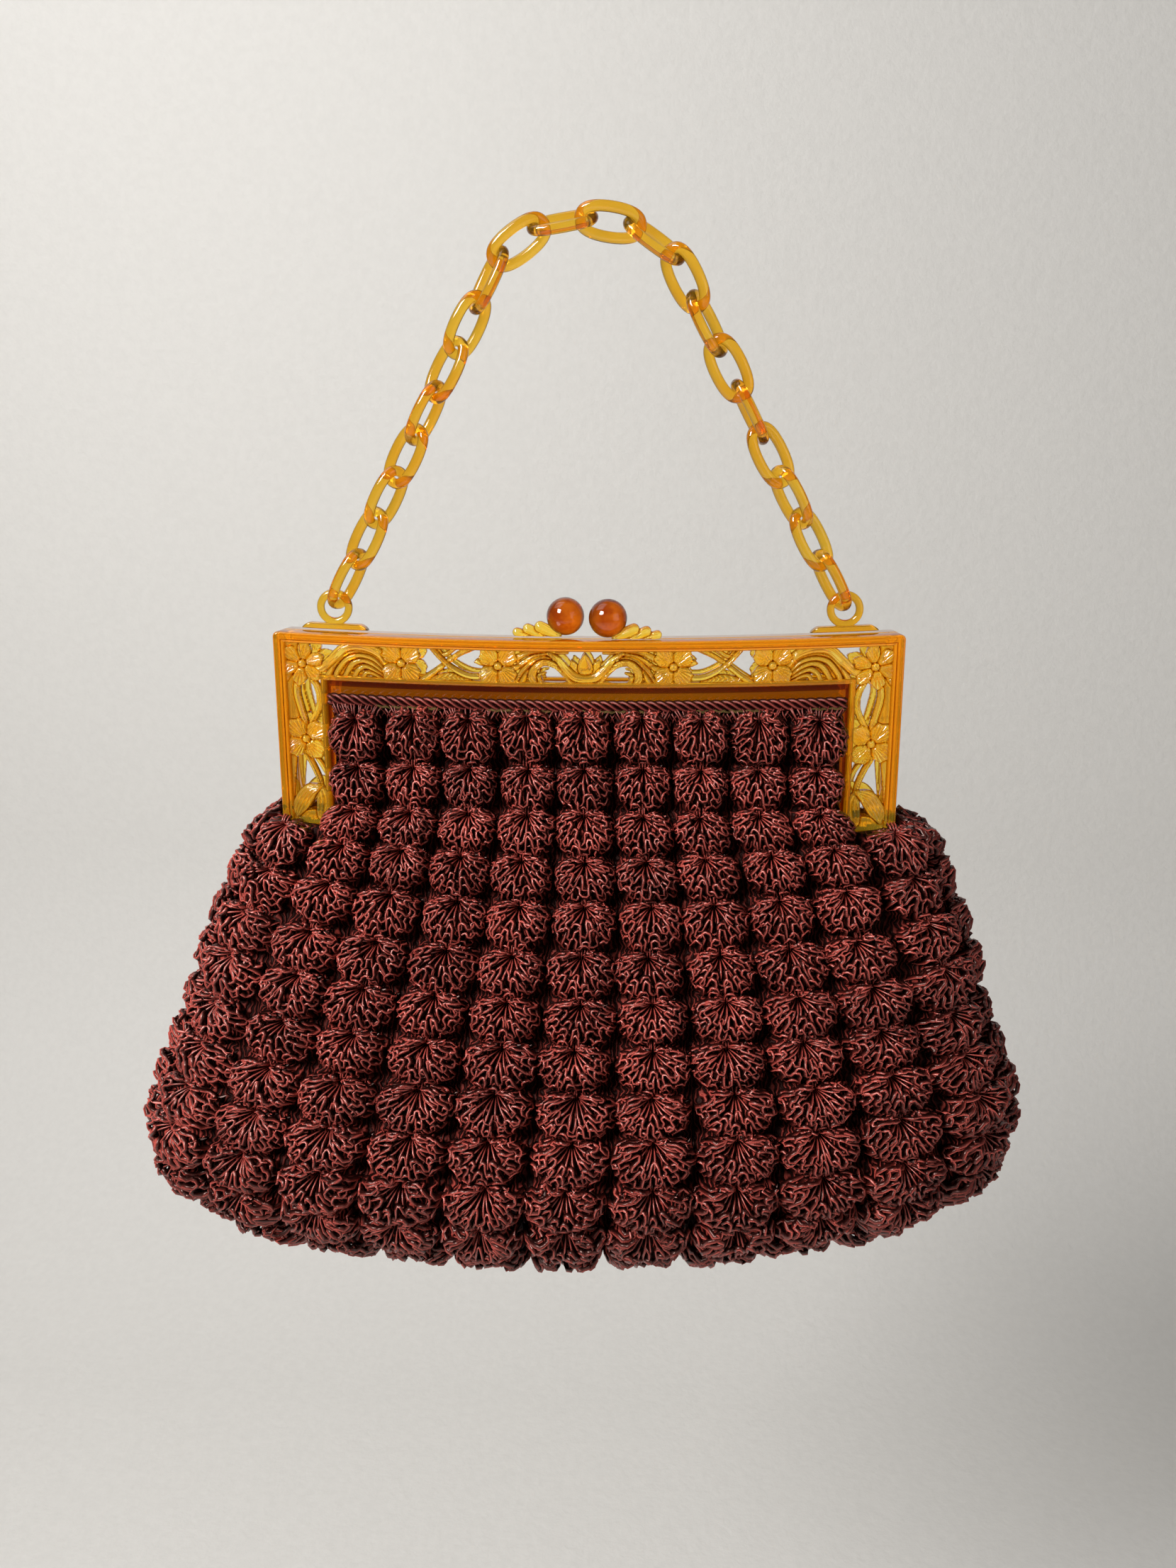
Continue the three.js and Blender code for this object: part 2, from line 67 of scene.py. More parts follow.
# Sections: row, height, half depth, half width, lean, column pitch, squareness, lift of both sides, rise to
# the right.
POUCH = np.array([
    (0, -18.1, 7, 88, 0, 14.6, 6, 0, 0),
    (0.3, -24, 7.2, 88, 0, 14.7, 6, 0, 0),
    (1.2, -35.2, 7.8, 88, 0, 14.7, 6, 0, 0),
    (2.1, -46, 10.6, 87, 0, 14.8, 6, 1.5, 0),
    (3.1, -57.2, 13.4, 86, 0.3, 15.6, 5, 6.5, 0),
    (4.1, -68.6, 16.8, 87.5, 0.6, 16.4, 3.2, 9, 0),
    (5.1, -80.4, 21.2, 93.5, 0, 17.2, 2.7, 9.2, 0),
    (6.2, -92.4, 25.7, 99, -0.4, 18.2, 2.4, 8.4, 0),
    (7.3, -104.2, 29.8, 103, -1, 19, 2.3, 6, 0.5),
    (8.4, -116, 33.6, 107.5, -1.2, 19.8, 2.3, 5.3, 1),
    (9.5, -128.1, 36.2, 112, -2, 20.6, 2.3, 5.5, 1.6),
    (10.6, -141, 36.4, 114.5, -3.2, 21.3, 2.3, 6.5, 2.4),
    (11.7, -152.6, 31.4, 112, -4, 21, 2.3, 7.5, 3),
    (12.6, -162, 20.8, 103, -4.4, 19.6, 2.3, 8, 3),
    (13.5, -166.6, 7.6, 91, -4.6, 17.6, 2.3, 8, 3),
    (14, -167.4, 2.2, 86, -4.6, 16.6, 2.3, 8, 3),
])


# ---- meshes

def unit(vectors):
    return vectors / np.maximum(np.linalg.norm(vectors, axis=-1, keepdims=True), 1e-9)


def add_object(name, data):
    added = bpy.data.objects.new(name, data)
    bpy.context.scene.collection.objects.link(added)
    return added


def make_mesh(name, points, faces, material):
    """A smooth mesh from points in millimetres and a list of face arrays."""
    faces = [np.asarray(group, np.int32) for group in faces]
    sizes = np.concatenate([np.full(len(group), group.shape[1], np.int32) for group in faces])
    corners = np.concatenate([group.ravel() for group in faces])
    mesh = bpy.data.meshes.new(name)
    mesh.vertices.add(len(points))
    mesh.vertices.foreach_set("co", (np.asarray(points) * MM).astype(np.float32).ravel())
    mesh.loops.add(len(corners))
    mesh.loops.foreach_set("vertex_index", corners)
    mesh.polygons.add(len(sizes))
    mesh.polygons.foreach_set("loop_start", np.concatenate([[0], np.cumsum(sizes)[:-1]]).astype(np.int32))
    mesh.update(calc_edges=True)
    mesh.polygons.foreach_set("use_smooth", np.ones(len(sizes), bool))
    mesh.materials.append(material)
    return add_object(name, mesh)


def make_piece(name, points, faces, material, replaced=(), uv=None, sharp=None, tone=None):
    """A mesh that rides on the purse and stands for solids."""
    piece = make_mesh(name, points, faces, material)
    mesh = piece.data
    if uv is not None:
        mesh.uv_layers.new(name="along_around").data.foreach_set("uv", uv.astype(np.float32).ravel())
    # A value per point of painted highlight and painted shade, which the materials read.
    if tone is not None:
        mesh.attributes.new("tone", "FLOAT", "POINT").data.foreach_set("value", tone.astype(np.float32))
    if sharp is not None:
        mesh.set_sharp_from_angle(angle=math.radians(sharp))
    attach(piece, "root")
    if replaced:
        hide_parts(*replaced)
    return piece


def circle(steps):
    """Angles of a full turn in even steps."""
    return np.linspace(0, 2 * np.pi, steps, endpoint=False)


def lattice(first, second):
    return np.meshgrid(first, second, indexing="ij")


def numbered(grid, start=0):
    """A vertex number for each place of a grid."""
    return start + np.arange(grid.size).reshape(grid.shape)


def grid_faces(index, closed_u=False, closed_v=False):
    """Quads of a grid of vertex numbers, wrapped round in either direction."""
    if closed_u:
        index = np.concatenate([index, index[:1]], 0)
    if closed_v:
        index = np.concatenate([index, index[:, :1]], 1)
    a, b, c, d = index[:-1, :-1], index[1:, :-1], index[1:, 1:], index[:-1, 1:]
    return np.stack([a, b, c, d], -1).reshape(-1, 4)


def cords(paths, outward, radius, sides):
    """Round cords: a circle carried along each path, its first spoke turned outward, closed at both ends.
    Gives points, quads, end caps, and for the corners of both their places along and around the cord."""
    outward = np.broadcast_to(outward, paths.shape).reshape(-1, *paths.shape[-2:])
    paths = paths.reshape(outward.shape)
    count, steps = paths.shape[:2]
    along = unit(np.gradient(paths, axis=1))
    across = unit(np.cross(along, outward))
    up = np.cross(across, along)
    turn = 2 * np.pi * np.arange(sides) / sides
    ring = up[:, :, None] * np.cos(turn)[:, None] + across[:, :, None] * np.sin(turn)[:, None]
    points = paths[:, :, None] + np.broadcast_to(radius, (count, steps))[:, :, None, None] * ring
    index = numbered(points[..., 0])
    near, far = index[:, :-1], index[:, 1:]
    quads = np.stack([near, np.roll(near, -1, 2), np.roll(far, -1, 2), far], -1).reshape(-1, 4)
    caps = np.concatenate([index[:, 0, ::-1], index[:, -1]])
    length = np.cumsum(np.linalg.norm(np.diff(paths, axis=1, prepend=paths[:, :1]), axis=-1), 1)
    start, end, spoke = length[:, :-1, None], length[:, 1:, None], np.arange(sides) / sides
    following = spoke + 1 / sides
    corners = [np.stack(np.broadcast_arrays(*corner), -1)
               for corner in ((start, spoke), (start, following), (end, following), (end, spoke))]
    quad_uv, cap_uv = np.stack(corners, -2).reshape(-1, 2), np.full((caps.size, 2), 0.5)
    return points.reshape(-1, 3), quads, caps, quad_uv, cap_uv


def join_cords(bundles):
    """Several bundles of cords as one surface, all the quads before the end caps."""
    points, quads, caps, quad_uv, cap_uv = zip(*bundles)
    starts = np.cumsum([0, *map(len, points)])
    faces = [group + start for kind in (quads, caps) for group, start in zip(kind, starts)]
    return np.concatenate(points), faces, np.concatenate(quad_uv + cap_uv)


def smooth_path(knots, steps):
    """A Catmull-Rom curve through the knots, at evenly spaced parameters."""
    knots = np.asarray(knots, float)
    padded = np.concatenate([2 * knots[:1] - knots[1:2], knots, 2 * knots[-1:] - knots[-2:-1]])
    t = np.linspace(0, len(knots) - 1, steps)
    k = np.minimum(t.astype(int), len(knots) - 2)
    f = (t - k)[:, None]
    a, b, c, d = padded[k], padded[k + 1], padded[k + 2], padded[k + 3]
    return b + 0.5 * f * (c - a + f * (2 * a - 5 * b + 4 * c - d + f * (3 * (b - c) + d - a)))


# ---- materials

def fill(tree, socket, source):
    """Links a socket to its source if that is another socket, or else sets its value."""
    if isinstance(source, bpy.types.NodeSocket):
        tree.links.new(source, socket)
    else:
        socket.default_value = source


def add(tree, kind, *sources, **values):
    """A new node: sources fill its inputs in order, values its settings or its inputs by name."""
    node = tree.nodes.new(kind)
    for name, value in values.items():
        if hasattr(node, name):
            setattr(node, name, value)
        else:
            fill(tree, node.inputs[name.replace("_", " ")], value)
    for socket, source in zip(node.inputs, sources):
        fill(tree, socket, source)
    return node


def new_material(name):
    material = bpy.data.materials.new(name)
    material.use_nodes = True
    return material, material.node_tree


def dress(material, **values):
    """Fills the inputs of a material's shader by name."""
    tree = material.node_tree
    for name, value in values.items():
        fill(tree, tree.nodes["Principled BSDF"].inputs[name.replace("_", " ")], value)
    return material


def ramp(tree, source, stops):
    """A colour for each value, blended between the stops."""
    node = add(tree, "ShaderNodeValToRGB", source)
    elements = node.color_ramp.elements
    while len(elements) < len(stops):
        elements.new(0.5)
    for element, (place, colour) in zip(elements, stops):
        element.position = place
        element.color = (*colour, 1)
    return node.outputs["Color"]


def own_place(tree):
    return tree.nodes.new("ShaderNodeTexCoord").outputs["Object"]


def noise(tree, place, scale, detail):
    return add(tree, "ShaderNodeTexNoise", place, Scale=scale, Detail=detail).outputs["Fac"]


# Reads each point's painted highlight and painted shade.
def own_painted_light(tree):
    return add(tree, "ShaderNodeAttribute", attribute_name="tone").outputs["Fac"]


def share_added(tree, source, share, base):
    """A share of one value added to another."""
    return add(tree, "ShaderNodeMath", source, share, base, operation="MULTIPLY_ADD").outputs[0]


def multiplied(tree, first, second):
    """One colour times another."""
    mix = add(tree, "ShaderNodeMix", data_type="RGBA", blend_type="MULTIPLY", Factor=1.0)
    fill(tree, mix.inputs[6], first)
    fill(tree, mix.inputs[7], second)
    return mix.outputs[2]


def bumped(tree, height, strength, distance):
    return add(tree, "ShaderNodeBump", Height=height, Strength=strength, Distance=distance).outputs[0]


def cast_flow_group():
    """Cast plastic: long soft streaks and fine specks, as a shade and a height."""
    group = bpy.data.node_groups.new("cast_flow", "ShaderNodeTree")
    for name, way, kind in (("Stretch", "INPUT", "NodeSocketVector"), ("Shade", "OUTPUT", "NodeSocketFloat"),
                            ("Height", "OUTPUT", "NodeSocketFloat")):
        group.interface.new_socket(name, in_out=way, socket_type=kind)
    stretch = group.nodes.new("NodeGroupInput").outputs["Stretch"]
    put = group.nodes.new("NodeGroupOutput")
    place = own_place(group)
    drawn_out = add(group, "ShaderNodeVectorMath", place, stretch, operation="MULTIPLY").outputs[0]
    streak = noise(group, drawn_out, 60.0, 3.0)
    speck = noise(group, place, 900.0, 2.0)
    fill(group, put.inputs["Shade"], streak)
    fill(group, put.inputs["Height"], share_added(group, speck, 0.25, streak))
    return group


CAST_FLOW = cast_flow_group()


def amber(name, stops, edge, absorb, density, stretch, clear, glow=0.0, by_tone=False, rim=(0.4, 0.9)):
    """Clear cast plastic: its colour follows the carved painted light or the flow streaks, it darkens with
    depth, painted shade darkens its colour where it turns away, the streaks show faintly in its gloss, and a
    slight painted glow stands for light that it passes on inside."""
    material, tree = new_material(name)
    flow = add(tree, "ShaderNodeGroup", node_tree=CAST_FLOW)
    flow.inputs["Stretch"].default_value = stretch
    streak = flow.outputs["Shade"]
    shade = share_added(tree, streak, 0.2, own_painted_light(tree)) if by_tone else streak
    # Painted shade: the colour darkens towards the edge colour where the surface turns away from the view.
    turned = add(tree, "ShaderNodeLayerWeight", Blend=0.4).outputs["Facing"]
    edge_shade = ramp(tree, turned, [(rim[0], (1, 1, 1)), (rim[1], edge)])
    colour = multiplied(tree, ramp(tree, shade, stops), edge_shade)
    gloss = add(tree, "ShaderNodeMapRange", streak, 0.3, 0.7, 0.02, 0.07).outputs[0]
    inside = add(tree, "ShaderNodeVolumeAbsorption", Color=(*absorb, 1), Density=density)
    tree.links.new(inside.outputs[0], tree.nodes["Material Output"].inputs["Volume"])
    # Painted glow: the amber's own colour given out as light.
    if glow:
        dress(material, Emission_Color=colour, Emission_Strength=glow)
    return dress(material, Base_Color=colour, Roughness=gloss, Transmission_Weight=clear, IOR=1.49,
                 Normal=bumped(tree, flow.outputs["Height"], 0.03, 0.0005))


# Painted light on a cord by the cosine of the angle round it: painted shade on its underside and sides, and a
# pink painted highlight along its crown.
CROWN_PAINTED_LIGHT = [(0.0, (0.05,) * 3), (0.5, (0.15,) * 3), (0.84, (0.4, 0.36, 0.36)), (0.985, (1.6, 2.1, 2.25))]


def twisted_cord(name, dark, light, gloss, shine, glint):
    """Shiny plied cord: a painted highlight along its crown and painted shade down its sides, with slanting
    ply lines and patchy fading."""
    material, tree = new_material(name)
    place = add(tree, "ShaderNodeUVMap", uv_map="along_around").outputs[0]
    slant = add(tree, "ShaderNodeMapping", place, Rotation=(0, 0, math.radians(35)), Scale=(1.0, 1.2, 1))
    ply = add(tree, "ShaderNodeTexWave", slant.outputs[0], Scale=1.1, Distortion=1.2, Detail=1.0)
    ply = ply.outputs["Fac"]
    shade = share_added(tree, ply, 0.35, noise(tree, own_place(tree), 70.0, 3.0))
    around = add(tree, "ShaderNodeSeparateXYZ", place).outputs["Y"]
    turn = add(tree, "ShaderNodeMath", around, 2 * math.pi, operation="MULTIPLY").outputs[0]
    crown = add(tree, "ShaderNodeMath", turn, operation="COSINE").outputs[0]
    faded = ramp(tree, shade, [(0.3, dark), (0.9, light)])
    # The crown ramp multiplies painted highlight and painted shade into the colour by the angle round the
    # cord.
    colour = multiplied(tree, faded, ramp(tree, crown, CROWN_PAINTED_LIGHT))
    return dress(material, Base_Color=colour, Roughness=gloss, Specular_IOR_Level=shine,
                 Specular_Tint=(*glint, 1), Normal=bumped(tree, ply, 0.12, 0.0001))


def close_crochet(name):
    """Close-worked ground: curling strands by a bent wave, lit along their crests and near black between them
    as painted light, and painted shade that leaves it wine under the bobbles and near black in the valleys
    between them."""
    material, tree = new_material(name)
    strand = add(tree, "ShaderNodeTexWave", own_place(tree), Scale=250.0, Distortion=9.0, Detail=1.0,
                 Detail_Scale=1.3).outputs["Fac"]
    # The strand ramp paints near black shade between strands and a painted highlight along their crests.
    stitches = ramp(tree, strand, [(0.25, (0.006, 0.0008, 0.0007)), (0.65, (0.09, 0.01, 0.008)),
                                   (0.95, (0.36, 0.055, 0.042))])
    # Painted shade: darker where the ground lies low between the bobbles.
    depth = ramp(tree, own_painted_light(tree), [(0.1, (0.2,) * 3), (0.6, (1.0,) * 3)])
    return dress(material, Base_Color=multiplied(tree, stitches, depth), Roughness=0.55,
                 Specular_IOR_Level=0.15, Specular_Tint=(1.0, 0.5, 0.45, 1),
                 Normal=bumped(tree, strand, 0.8, 0.0005))


def old_brass(name):
    """Dull brass: brown tarnish patches that are rougher than the worn metal."""
    material, tree = new_material(name)
    stain = noise(tree, own_place(tree), 500.0, 4.0)
    return dress(material, Metallic=1.0, Roughness=ramp(tree, stain, [(0.3, (0.3,) * 3), (0.7, (0.65,) * 3)]),
                 Base_Color=ramp(tree, stain, [(0.35, (0.42, 0.28, 0.09)), (0.65, (0.12, 0.07, 0.03))]))


def plaster(name, colour):
    """Pale paint with a soft uneven skin, its hollows a little darker as painted shade."""
    material, tree = new_material(name)
    lumps = noise(tree, own_place(tree), 170.0, 5.0)
    # Painted shade: the hollows of the bumps are three hundredths darker.
    hollow_shade = tuple(0.97 * part for part in colour)
    return dress(material, Base_Color=ramp(tree, lumps, [(0.35, hollow_shade), (0.65, colour)]), Roughness=0.7,
                 Normal=bumped(tree, lumps, 0.2, 0.003))


# Frame colours along its painted light: dark brown in painted shade, pale yellow in painted highlights.
FRAME_TONES = [(0.14, (0.17, 0.025, 0.001)), (0.36, (0.62, 0.2, 0.004)), (0.48, (0.86, 0.43, 0.01)),
               (0.64, (1.0, 0.61, 0.025)), (0.95, (1.0, 0.79, 0.13))]
LINK_TONES = [(0.3, (1.0, 0.54, 0.03)), (0.62, (1.0, 0.67, 0.06))]
BALL_TONES = [(0.35, (0.55, 0.11, 0.004)), (0.6, (0.97, 0.38, 0.02))]
# Colour of the painted shade where the amber turns away from the view.
BROWN_EDGE_SHADE = (0.34, 0.17, 0.05)
# The frame's amber follows its painted light and has a slight painted glow.
FRAME_AMBER = amber("frame_amber", FRAME_TONES, BROWN_EDGE_SHADE, (1.0, 0.6, 0.05), 55, (0.25, 1, 1), 0.9,
                    glow=0.06, by_tone=True)
CHAIN_AMBER = amber("chain_amber", LINK_TONES, BROWN_EDGE_SHADE, (1.0, 0.55, 0.0), 100, (1, 1, 1), 0.94)
# The balls' painted shade starts nearer their middles and goes darker at their rims.
KNOB_AMBER = amber("knob_amber", BALL_TONES, (0.1, 0.03, 0.01), (1.0, 0.3, 0.0), 90, (6, 6, 6), 0.98,
                   rim=(0.12, 0.75))
PINK_GLINT = (1.0, 0.66, 0.6)
# All three cords below carry the painted highlight along the crown and painted shade down the sides.
WINE_CORD = twisted_cord("wine_cord", (0.085, 0.008, 0.0065), (0.36, 0.048, 0.035), 0.36, 0.8, PINK_GLINT)
EDGE_CORD = twisted_cord("edge_cord", (0.045, 0.0045, 0.0036), (0.2, 0.027, 0.02), 0.42, 0.5, PINK_GLINT)
SEWING_THREAD = twisted_cord("sewing_thread", (0.03, 0.016, 0.005), (0.1, 0.05, 0.016), 0.5, 0.3,
                             (1.0, 0.7, 0.35))
CROCHET_GROUND = close_crochet("crochet_ground")
PIN_BRASS = old_brass("pin_brass")
BACKDROP_PAINT = plaster("backdrop_paint", (0.71, 0.7, 0.68))


# ---- chain

def bow(x):
    """Sag of the top bar, a shallow parabola."""
    return -BOW * (1 - (x / HALF_WIDTH) ** 2)


def chain_stations():
    """Points where links meet, left to right, and the height of the rings: an arch, then straight runs."""
    pitch = LINK_LENGTH - 2 * LINK_WIRE - LINK_GAP
    right = [np.zeros(3)]
    for slope in np.radians(TOP_SLOPES):
        right.append(right[-1] + pitch * np.array([np.cos(slope), 0, -np.sin(slope)]))
    shoulder = right[-1]
    pull = LINKS_PER_SIDE * pitch + RING_RADIUS - RING_WIRE / 2 - LINK_GAP / 2
    drop = math.sqrt(pull ** 2 - (RING_X - shoulder[0]) ** 2 - RING_Y ** 2)
    ring = np.array([RING_X, RING_Y, shoulder[2] - drop])
    for step in range(1, LINKS_PER_SIDE + 1):
        right.append(shoulder + (ring - shoulder) * step * pitch / pull)
    left = [point * (-1, 1, 1) for point in right[:0:-1]]
    return np.array(left + right), ring[2]


STATIONS, RING_Z = chain_stations()
TOP_Z = RING_Z - RING_HEIGHT - bow(RING_X)


def link_surface(start, end, turn):
    """An oval link: a round section carried round two half circles drawn apart, with gently bowed sides."""
    along = unit(end - start)
    face = unit(np.array([0, 1, 0]) - along[1] * along)
    turn = math.radians(turn)
    face = face * math.cos(turn) + np.cross(along, face) * math.sin(turn)
    across = np.cross(face, along)
    angle = circle(60)
    bend = (LINK_WIDTH - LINK_WIRE) / 2
    pull = (LINK_LENGTH - LINK_WIDTH) / 2
    ease = np.sin(np.pi / 2 * np.cos(angle))
    slope = -np.pi / 2 * np.sin(angle) * np.cos(np.pi / 2 * np.cos(angle))
    centre = np.stack([bend * np.cos(angle) + pull * ease, bend * np.sin(angle)], -1)
    spoke = unit(np.stack([bend * np.cos(angle), bend * np.sin(angle) - pull * slope], -1))
    section = circle(16)
    reach = LINK_WIRE / 2 * np.cos(section)
    lift = LINK_WIRE / 2 * np.sin(section)
    flat = centre[:, None] + spoke[:, None] * reach[:, None]
    points = (flat[..., :1] * along + flat[..., 1:] * across + lift[:, None] * face) + (start + end) / 2
    return points.reshape(-1, 3), [grid_faces(numbered(points[..., 0]), True, True)]


for number, (start, end, turn) in enumerate(zip(STATIONS[:-1], STATIONS[1:], LINK_TURNS), 1):
    points, faces = link_surface(start, end, turn)
    node = f"link_{number:02d}"
    make_piece(f"chain_{node}", points, faces, CHAIN_AMBER, [node])


def ring_surface(side):
    """A round hoop, and below it a long tab: a rounded section that shrinks at both ends along the bowed
    rim."""
    u, v = lattice(circle(48), circle(16))
    out = RING_RADIUS + RING_WIRE / 2 * np.cos(v)
    hoop = np.stack([side * RING_X + out * np.cos(u), RING_Y + RING_WIRE / 2 * np.sin(v),
                     RING_HEIGHT + bow(RING_X) + out * np.sin(u)], -1)
    ring_faces = grid_faces(numbered(u), True, True)[:, ::-1]
    t, angle = lattice(np.linspace(-1, 1, 41), circle(24))
    x = side * RING_X + t * TAB_LENGTH / 2
    shrink = np.clip((1 - np.abs(t)) * 4.5, 0.02, 1) ** 0.6
    square = lambda w: np.sign(w) * np.abs(w) ** 0.45
    low = SEAT + bow(x)
    tall = (TAB_HEIGHT - SEAT) * shrink
    tab = np.stack([x, RING_Y + TAB_DEPTH / 2 * shrink ** 0.4 * square(np.cos(angle)),
                    low + tall * (0.5 + 0.5 * square(np.sin(angle)))], -1)
    tab_index = numbered(t, u.size)
    faces = [np.concatenate([ring_faces, grid_faces(tab_index, False, True)[:, ::-1]]),
             np.stack([tab_index[0, ::-1], tab_index[-1]])]
    points = np.concatenate([hoop.reshape(-1, 3), tab.reshape(-1, 3)])
    return points + (0, 0, TOP_Z), faces


for name, side in (("left", -1), ("right", 1)):
    points, faces = ring_surface(side)
    make_piece(f"chain_ring_{name}", points, faces, CHAIN_AMBER, [f"ring_{name}"], sharp=50)
    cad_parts[f"hinge_pin_{name}"].data.materials.clear()
    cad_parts[f"hinge_pin_{name}"].data.materials.append(PIN_BRASS)


# ---- pierced frame

def sag(x, w):
    """Height of a frame point from its place along the frame and its height below the top edge: the bow of
    the top bar dies out down the legs."""
    return w + bow(x) * np.clip((w - BOW_LOW) / (BOW_HIGH - BOW_LOW), 0, 1) + TOP_Z


# TONE_REACH is how far round each point the painted light takes its mean height.
CUT_DEPTH, CUT_WIDTH, BEAD, TONE_REACH = 0.75, 0.2, 0.9, 0.8


class Carving:
    """A pierced relief over points x, z: how far each lies inside the material, and its front and back."""

    def __init__(self, x, z, front, back):
        self.x, self.z = x, z
        self.inside = np.full(x.shape, -9.0)
        self.front = np.full(x.shape, front)
        self.back = np.full(x.shape, back)

    def lay(self, where, inside, front):
        """Lays a form over what is there, with a cut line round it."""
        line = CUT_DEPTH * np.exp(-((inside / CUT_WIDTH) ** 2))
        self.front[where] = np.where(inside > 0, front - 0.5 * line, self.front[where] - line)
        self.inside[where] = np.maximum(self.inside[where], inside)

    def near(self, low, high, reach):
        """The points in a box with a margin."""
        return np.nonzero((self.x > low[0] - reach) & (self.x < high[0] + reach)
                          & (self.z > low[1] - reach) & (self.z < high[1] + reach))

    def stem(self, path, width, top, edge, ridges=0, comb=0):
        """A leaf or stem: a rounded strip along a smooth path, its width set at the start, middle and end,
        with fine ridges along it or a comb of notches across it."""
        line = smooth_path(path, 7 * len(path))
        where = self.near(line.min(0), line.max(0), max(width))
        step = np.diff(line, axis=0)
        px, pz = self.x[where][:, None] - line[:-1, 0], self.z[where][:, None] - line[:-1, 1]
        share = np.clip((px * step[:, 0] + pz * step[:, 1]) / (step ** 2).sum(1), 0, 1)
        gap = np.hypot(px - share * step[:, 0], pz - share * step[:, 1])
        best = gap.argmin(1)
        row = np.arange(len(best))
        t = (best + share[row, best]) / len(step)
        side = np.sign(px[row, best] * step[best, 1] - pz[row, best] * step[best, 0])
        gap = gap[row, best]
        start, middle, end = width
        half = 0.5 * (start * (1 - t) * (1 - 2 * t) + middle * 4 * t * (1 - t) + end * t * (2 * t - 1))
        half = np.maximum(half, 0.12)
        across = np.clip(gap / half, 0, 1)
        front = edge + (top - edge) * (0.25 + 0.6 * np.sqrt(1 - across ** 2))
        if ridges:
            front = front + 0.13 * np.cos(np.pi * ridges * side * across)
        if comb:
            front = front + 0.25 * np.cos(2 * np.pi * comb * (t + 0.1 * across))
        self.lay(where, half - gap, front)

    def flower(self, x, z, petals, reach, turn, veins):
        """Petals round a ringed bead. The outline swells at each petal, a groove parts the petals, and veins
        run out from the middle."""
        where = self.near((x, z), (x, z), 1.2 * reach)
        dx, dz = self.x[where] - x, self.z[where] - z
        r, angle = np.hypot(dx, dz), np.arctan2(dz, dx) - turn
        lobe = np.abs(np.sin(petals / 2 * angle))
        tip = 0.05 * np.exp((lobe - 1) / 0.05)
        edge = reach * (0.45 + 0.5 * lobe ** 0.5 + tip + 0.03 * np.cos(veins / 2 * angle))
        rise = np.clip(r / edge, 0, 1)
        front = 5.6 + 0.7 * lobe ** 0.35 * (0.4 + 0.6 * np.sin(np.pi * (0.05 + 0.6 * rise)))
        front = front - 0.5 * np.exp(-((r * lobe * 2 / petals / 0.16) ** 2))
        front = front + 0.14 * np.cos(veins * angle) * np.clip((r - 1.0) / 0.8, 0, 1)
        front = front - 0.6 * np.exp(-(((r - 1.15) / 0.22) ** 2))
        bead = 6.1 + 0.6 * np.sqrt(np.clip(1 - (r / BEAD) ** 2, 0, 1))
        self.lay(where, edge - r, np.where(r < BEAD, bead, front))

    def tone(self, step):
        """Painted light: a painted highlight on raised places and painted shade in cut lines and along every
        edge, from height against the mean of a square round each point."""
        reach = round(TONE_REACH / step)
        wide = 2 * reach + 1
        total = np.pad(np.pad(self.front, reach, mode="edge").cumsum(0).cumsum(1), ((1, 0), (1, 0)))
        mean = total[wide:, wide:] - total[:-wide, wide:] - total[wide:, :-wide] + total[:-wide, :-wide]
        raised = self.front - mean / wide ** 2
        return np.clip(0.62 + 0.95 * raised - 0.3 * np.exp(-((self.inside / 0.3) ** 2)), 0, 1)


def plate(low, high, step, shape):
    """A pierced plate: a grid of points kept where there is material, its edge drawn on to the true outline,
    with a carved front, a back and walls between them. Gives place, distance out, faces and the painted light
    and shade of each point, the front's points before the back's."""
    x, z = lattice(*(np.arange(low[axis] - step, high[axis] + 1.5 * step, step) for axis in (0, 1)))
    inside = shape(x, z).inside
    kept = inside[:-1, :-1] + inside[1:, :-1] + inside[1:, 1:] + inside[:-1, 1:] > 0
    around = np.zeros((4,) + x.shape, bool)
    around[0, :-1, :-1], around[1, 1:, :-1] = kept, kept
    around[2, 1:, 1:], around[3, :-1, 1:] = kept, kept
    used = around.any(0)
    border = used & ~around.all(0)
    slope_x, slope_z = np.gradient(np.clip(inside, -1.5, 1.5), step)
    steep = np.maximum(slope_x ** 2 + slope_z ** 2, 0.2)
    limit = 0.62 * step
    x = x - np.where(border, np.clip(inside * slope_x / steep, -limit, limit), 0)
    z = z - np.where(border, np.clip(inside * slope_z / steep, -limit, limit), 0)
    carving = shape(x, z)
    number = np.cumsum(used).reshape(used.shape) - 1
    count = used.sum()
    quads = grid_faces(number).reshape(*kept.shape, 4)
    faces = [quads[kept], quads[kept][:, ::-1] + count]
    ring = np.pad(kept, 1)
    bare = (~ring[1:-1, :-2], ~ring[2:, 1:-1], ~ring[1:-1, 2:], ~ring[:-2, 1:-1])
    for edge, empty in enumerate(bare):
        start, end = quads[kept & empty][:, edge], quads[kept & empty][:, (edge + 1) % 4]
        faces.append(np.stack([start, start + count, end + count, end], -1))
    place = np.tile(np.stack([x, z], -1)[used], (2, 1))
    out = np.concatenate([carving.front[used], carving.back[used]])
    return place, out, np.concatenate(faces), np.tile(carving.tone(step)[used], 2)


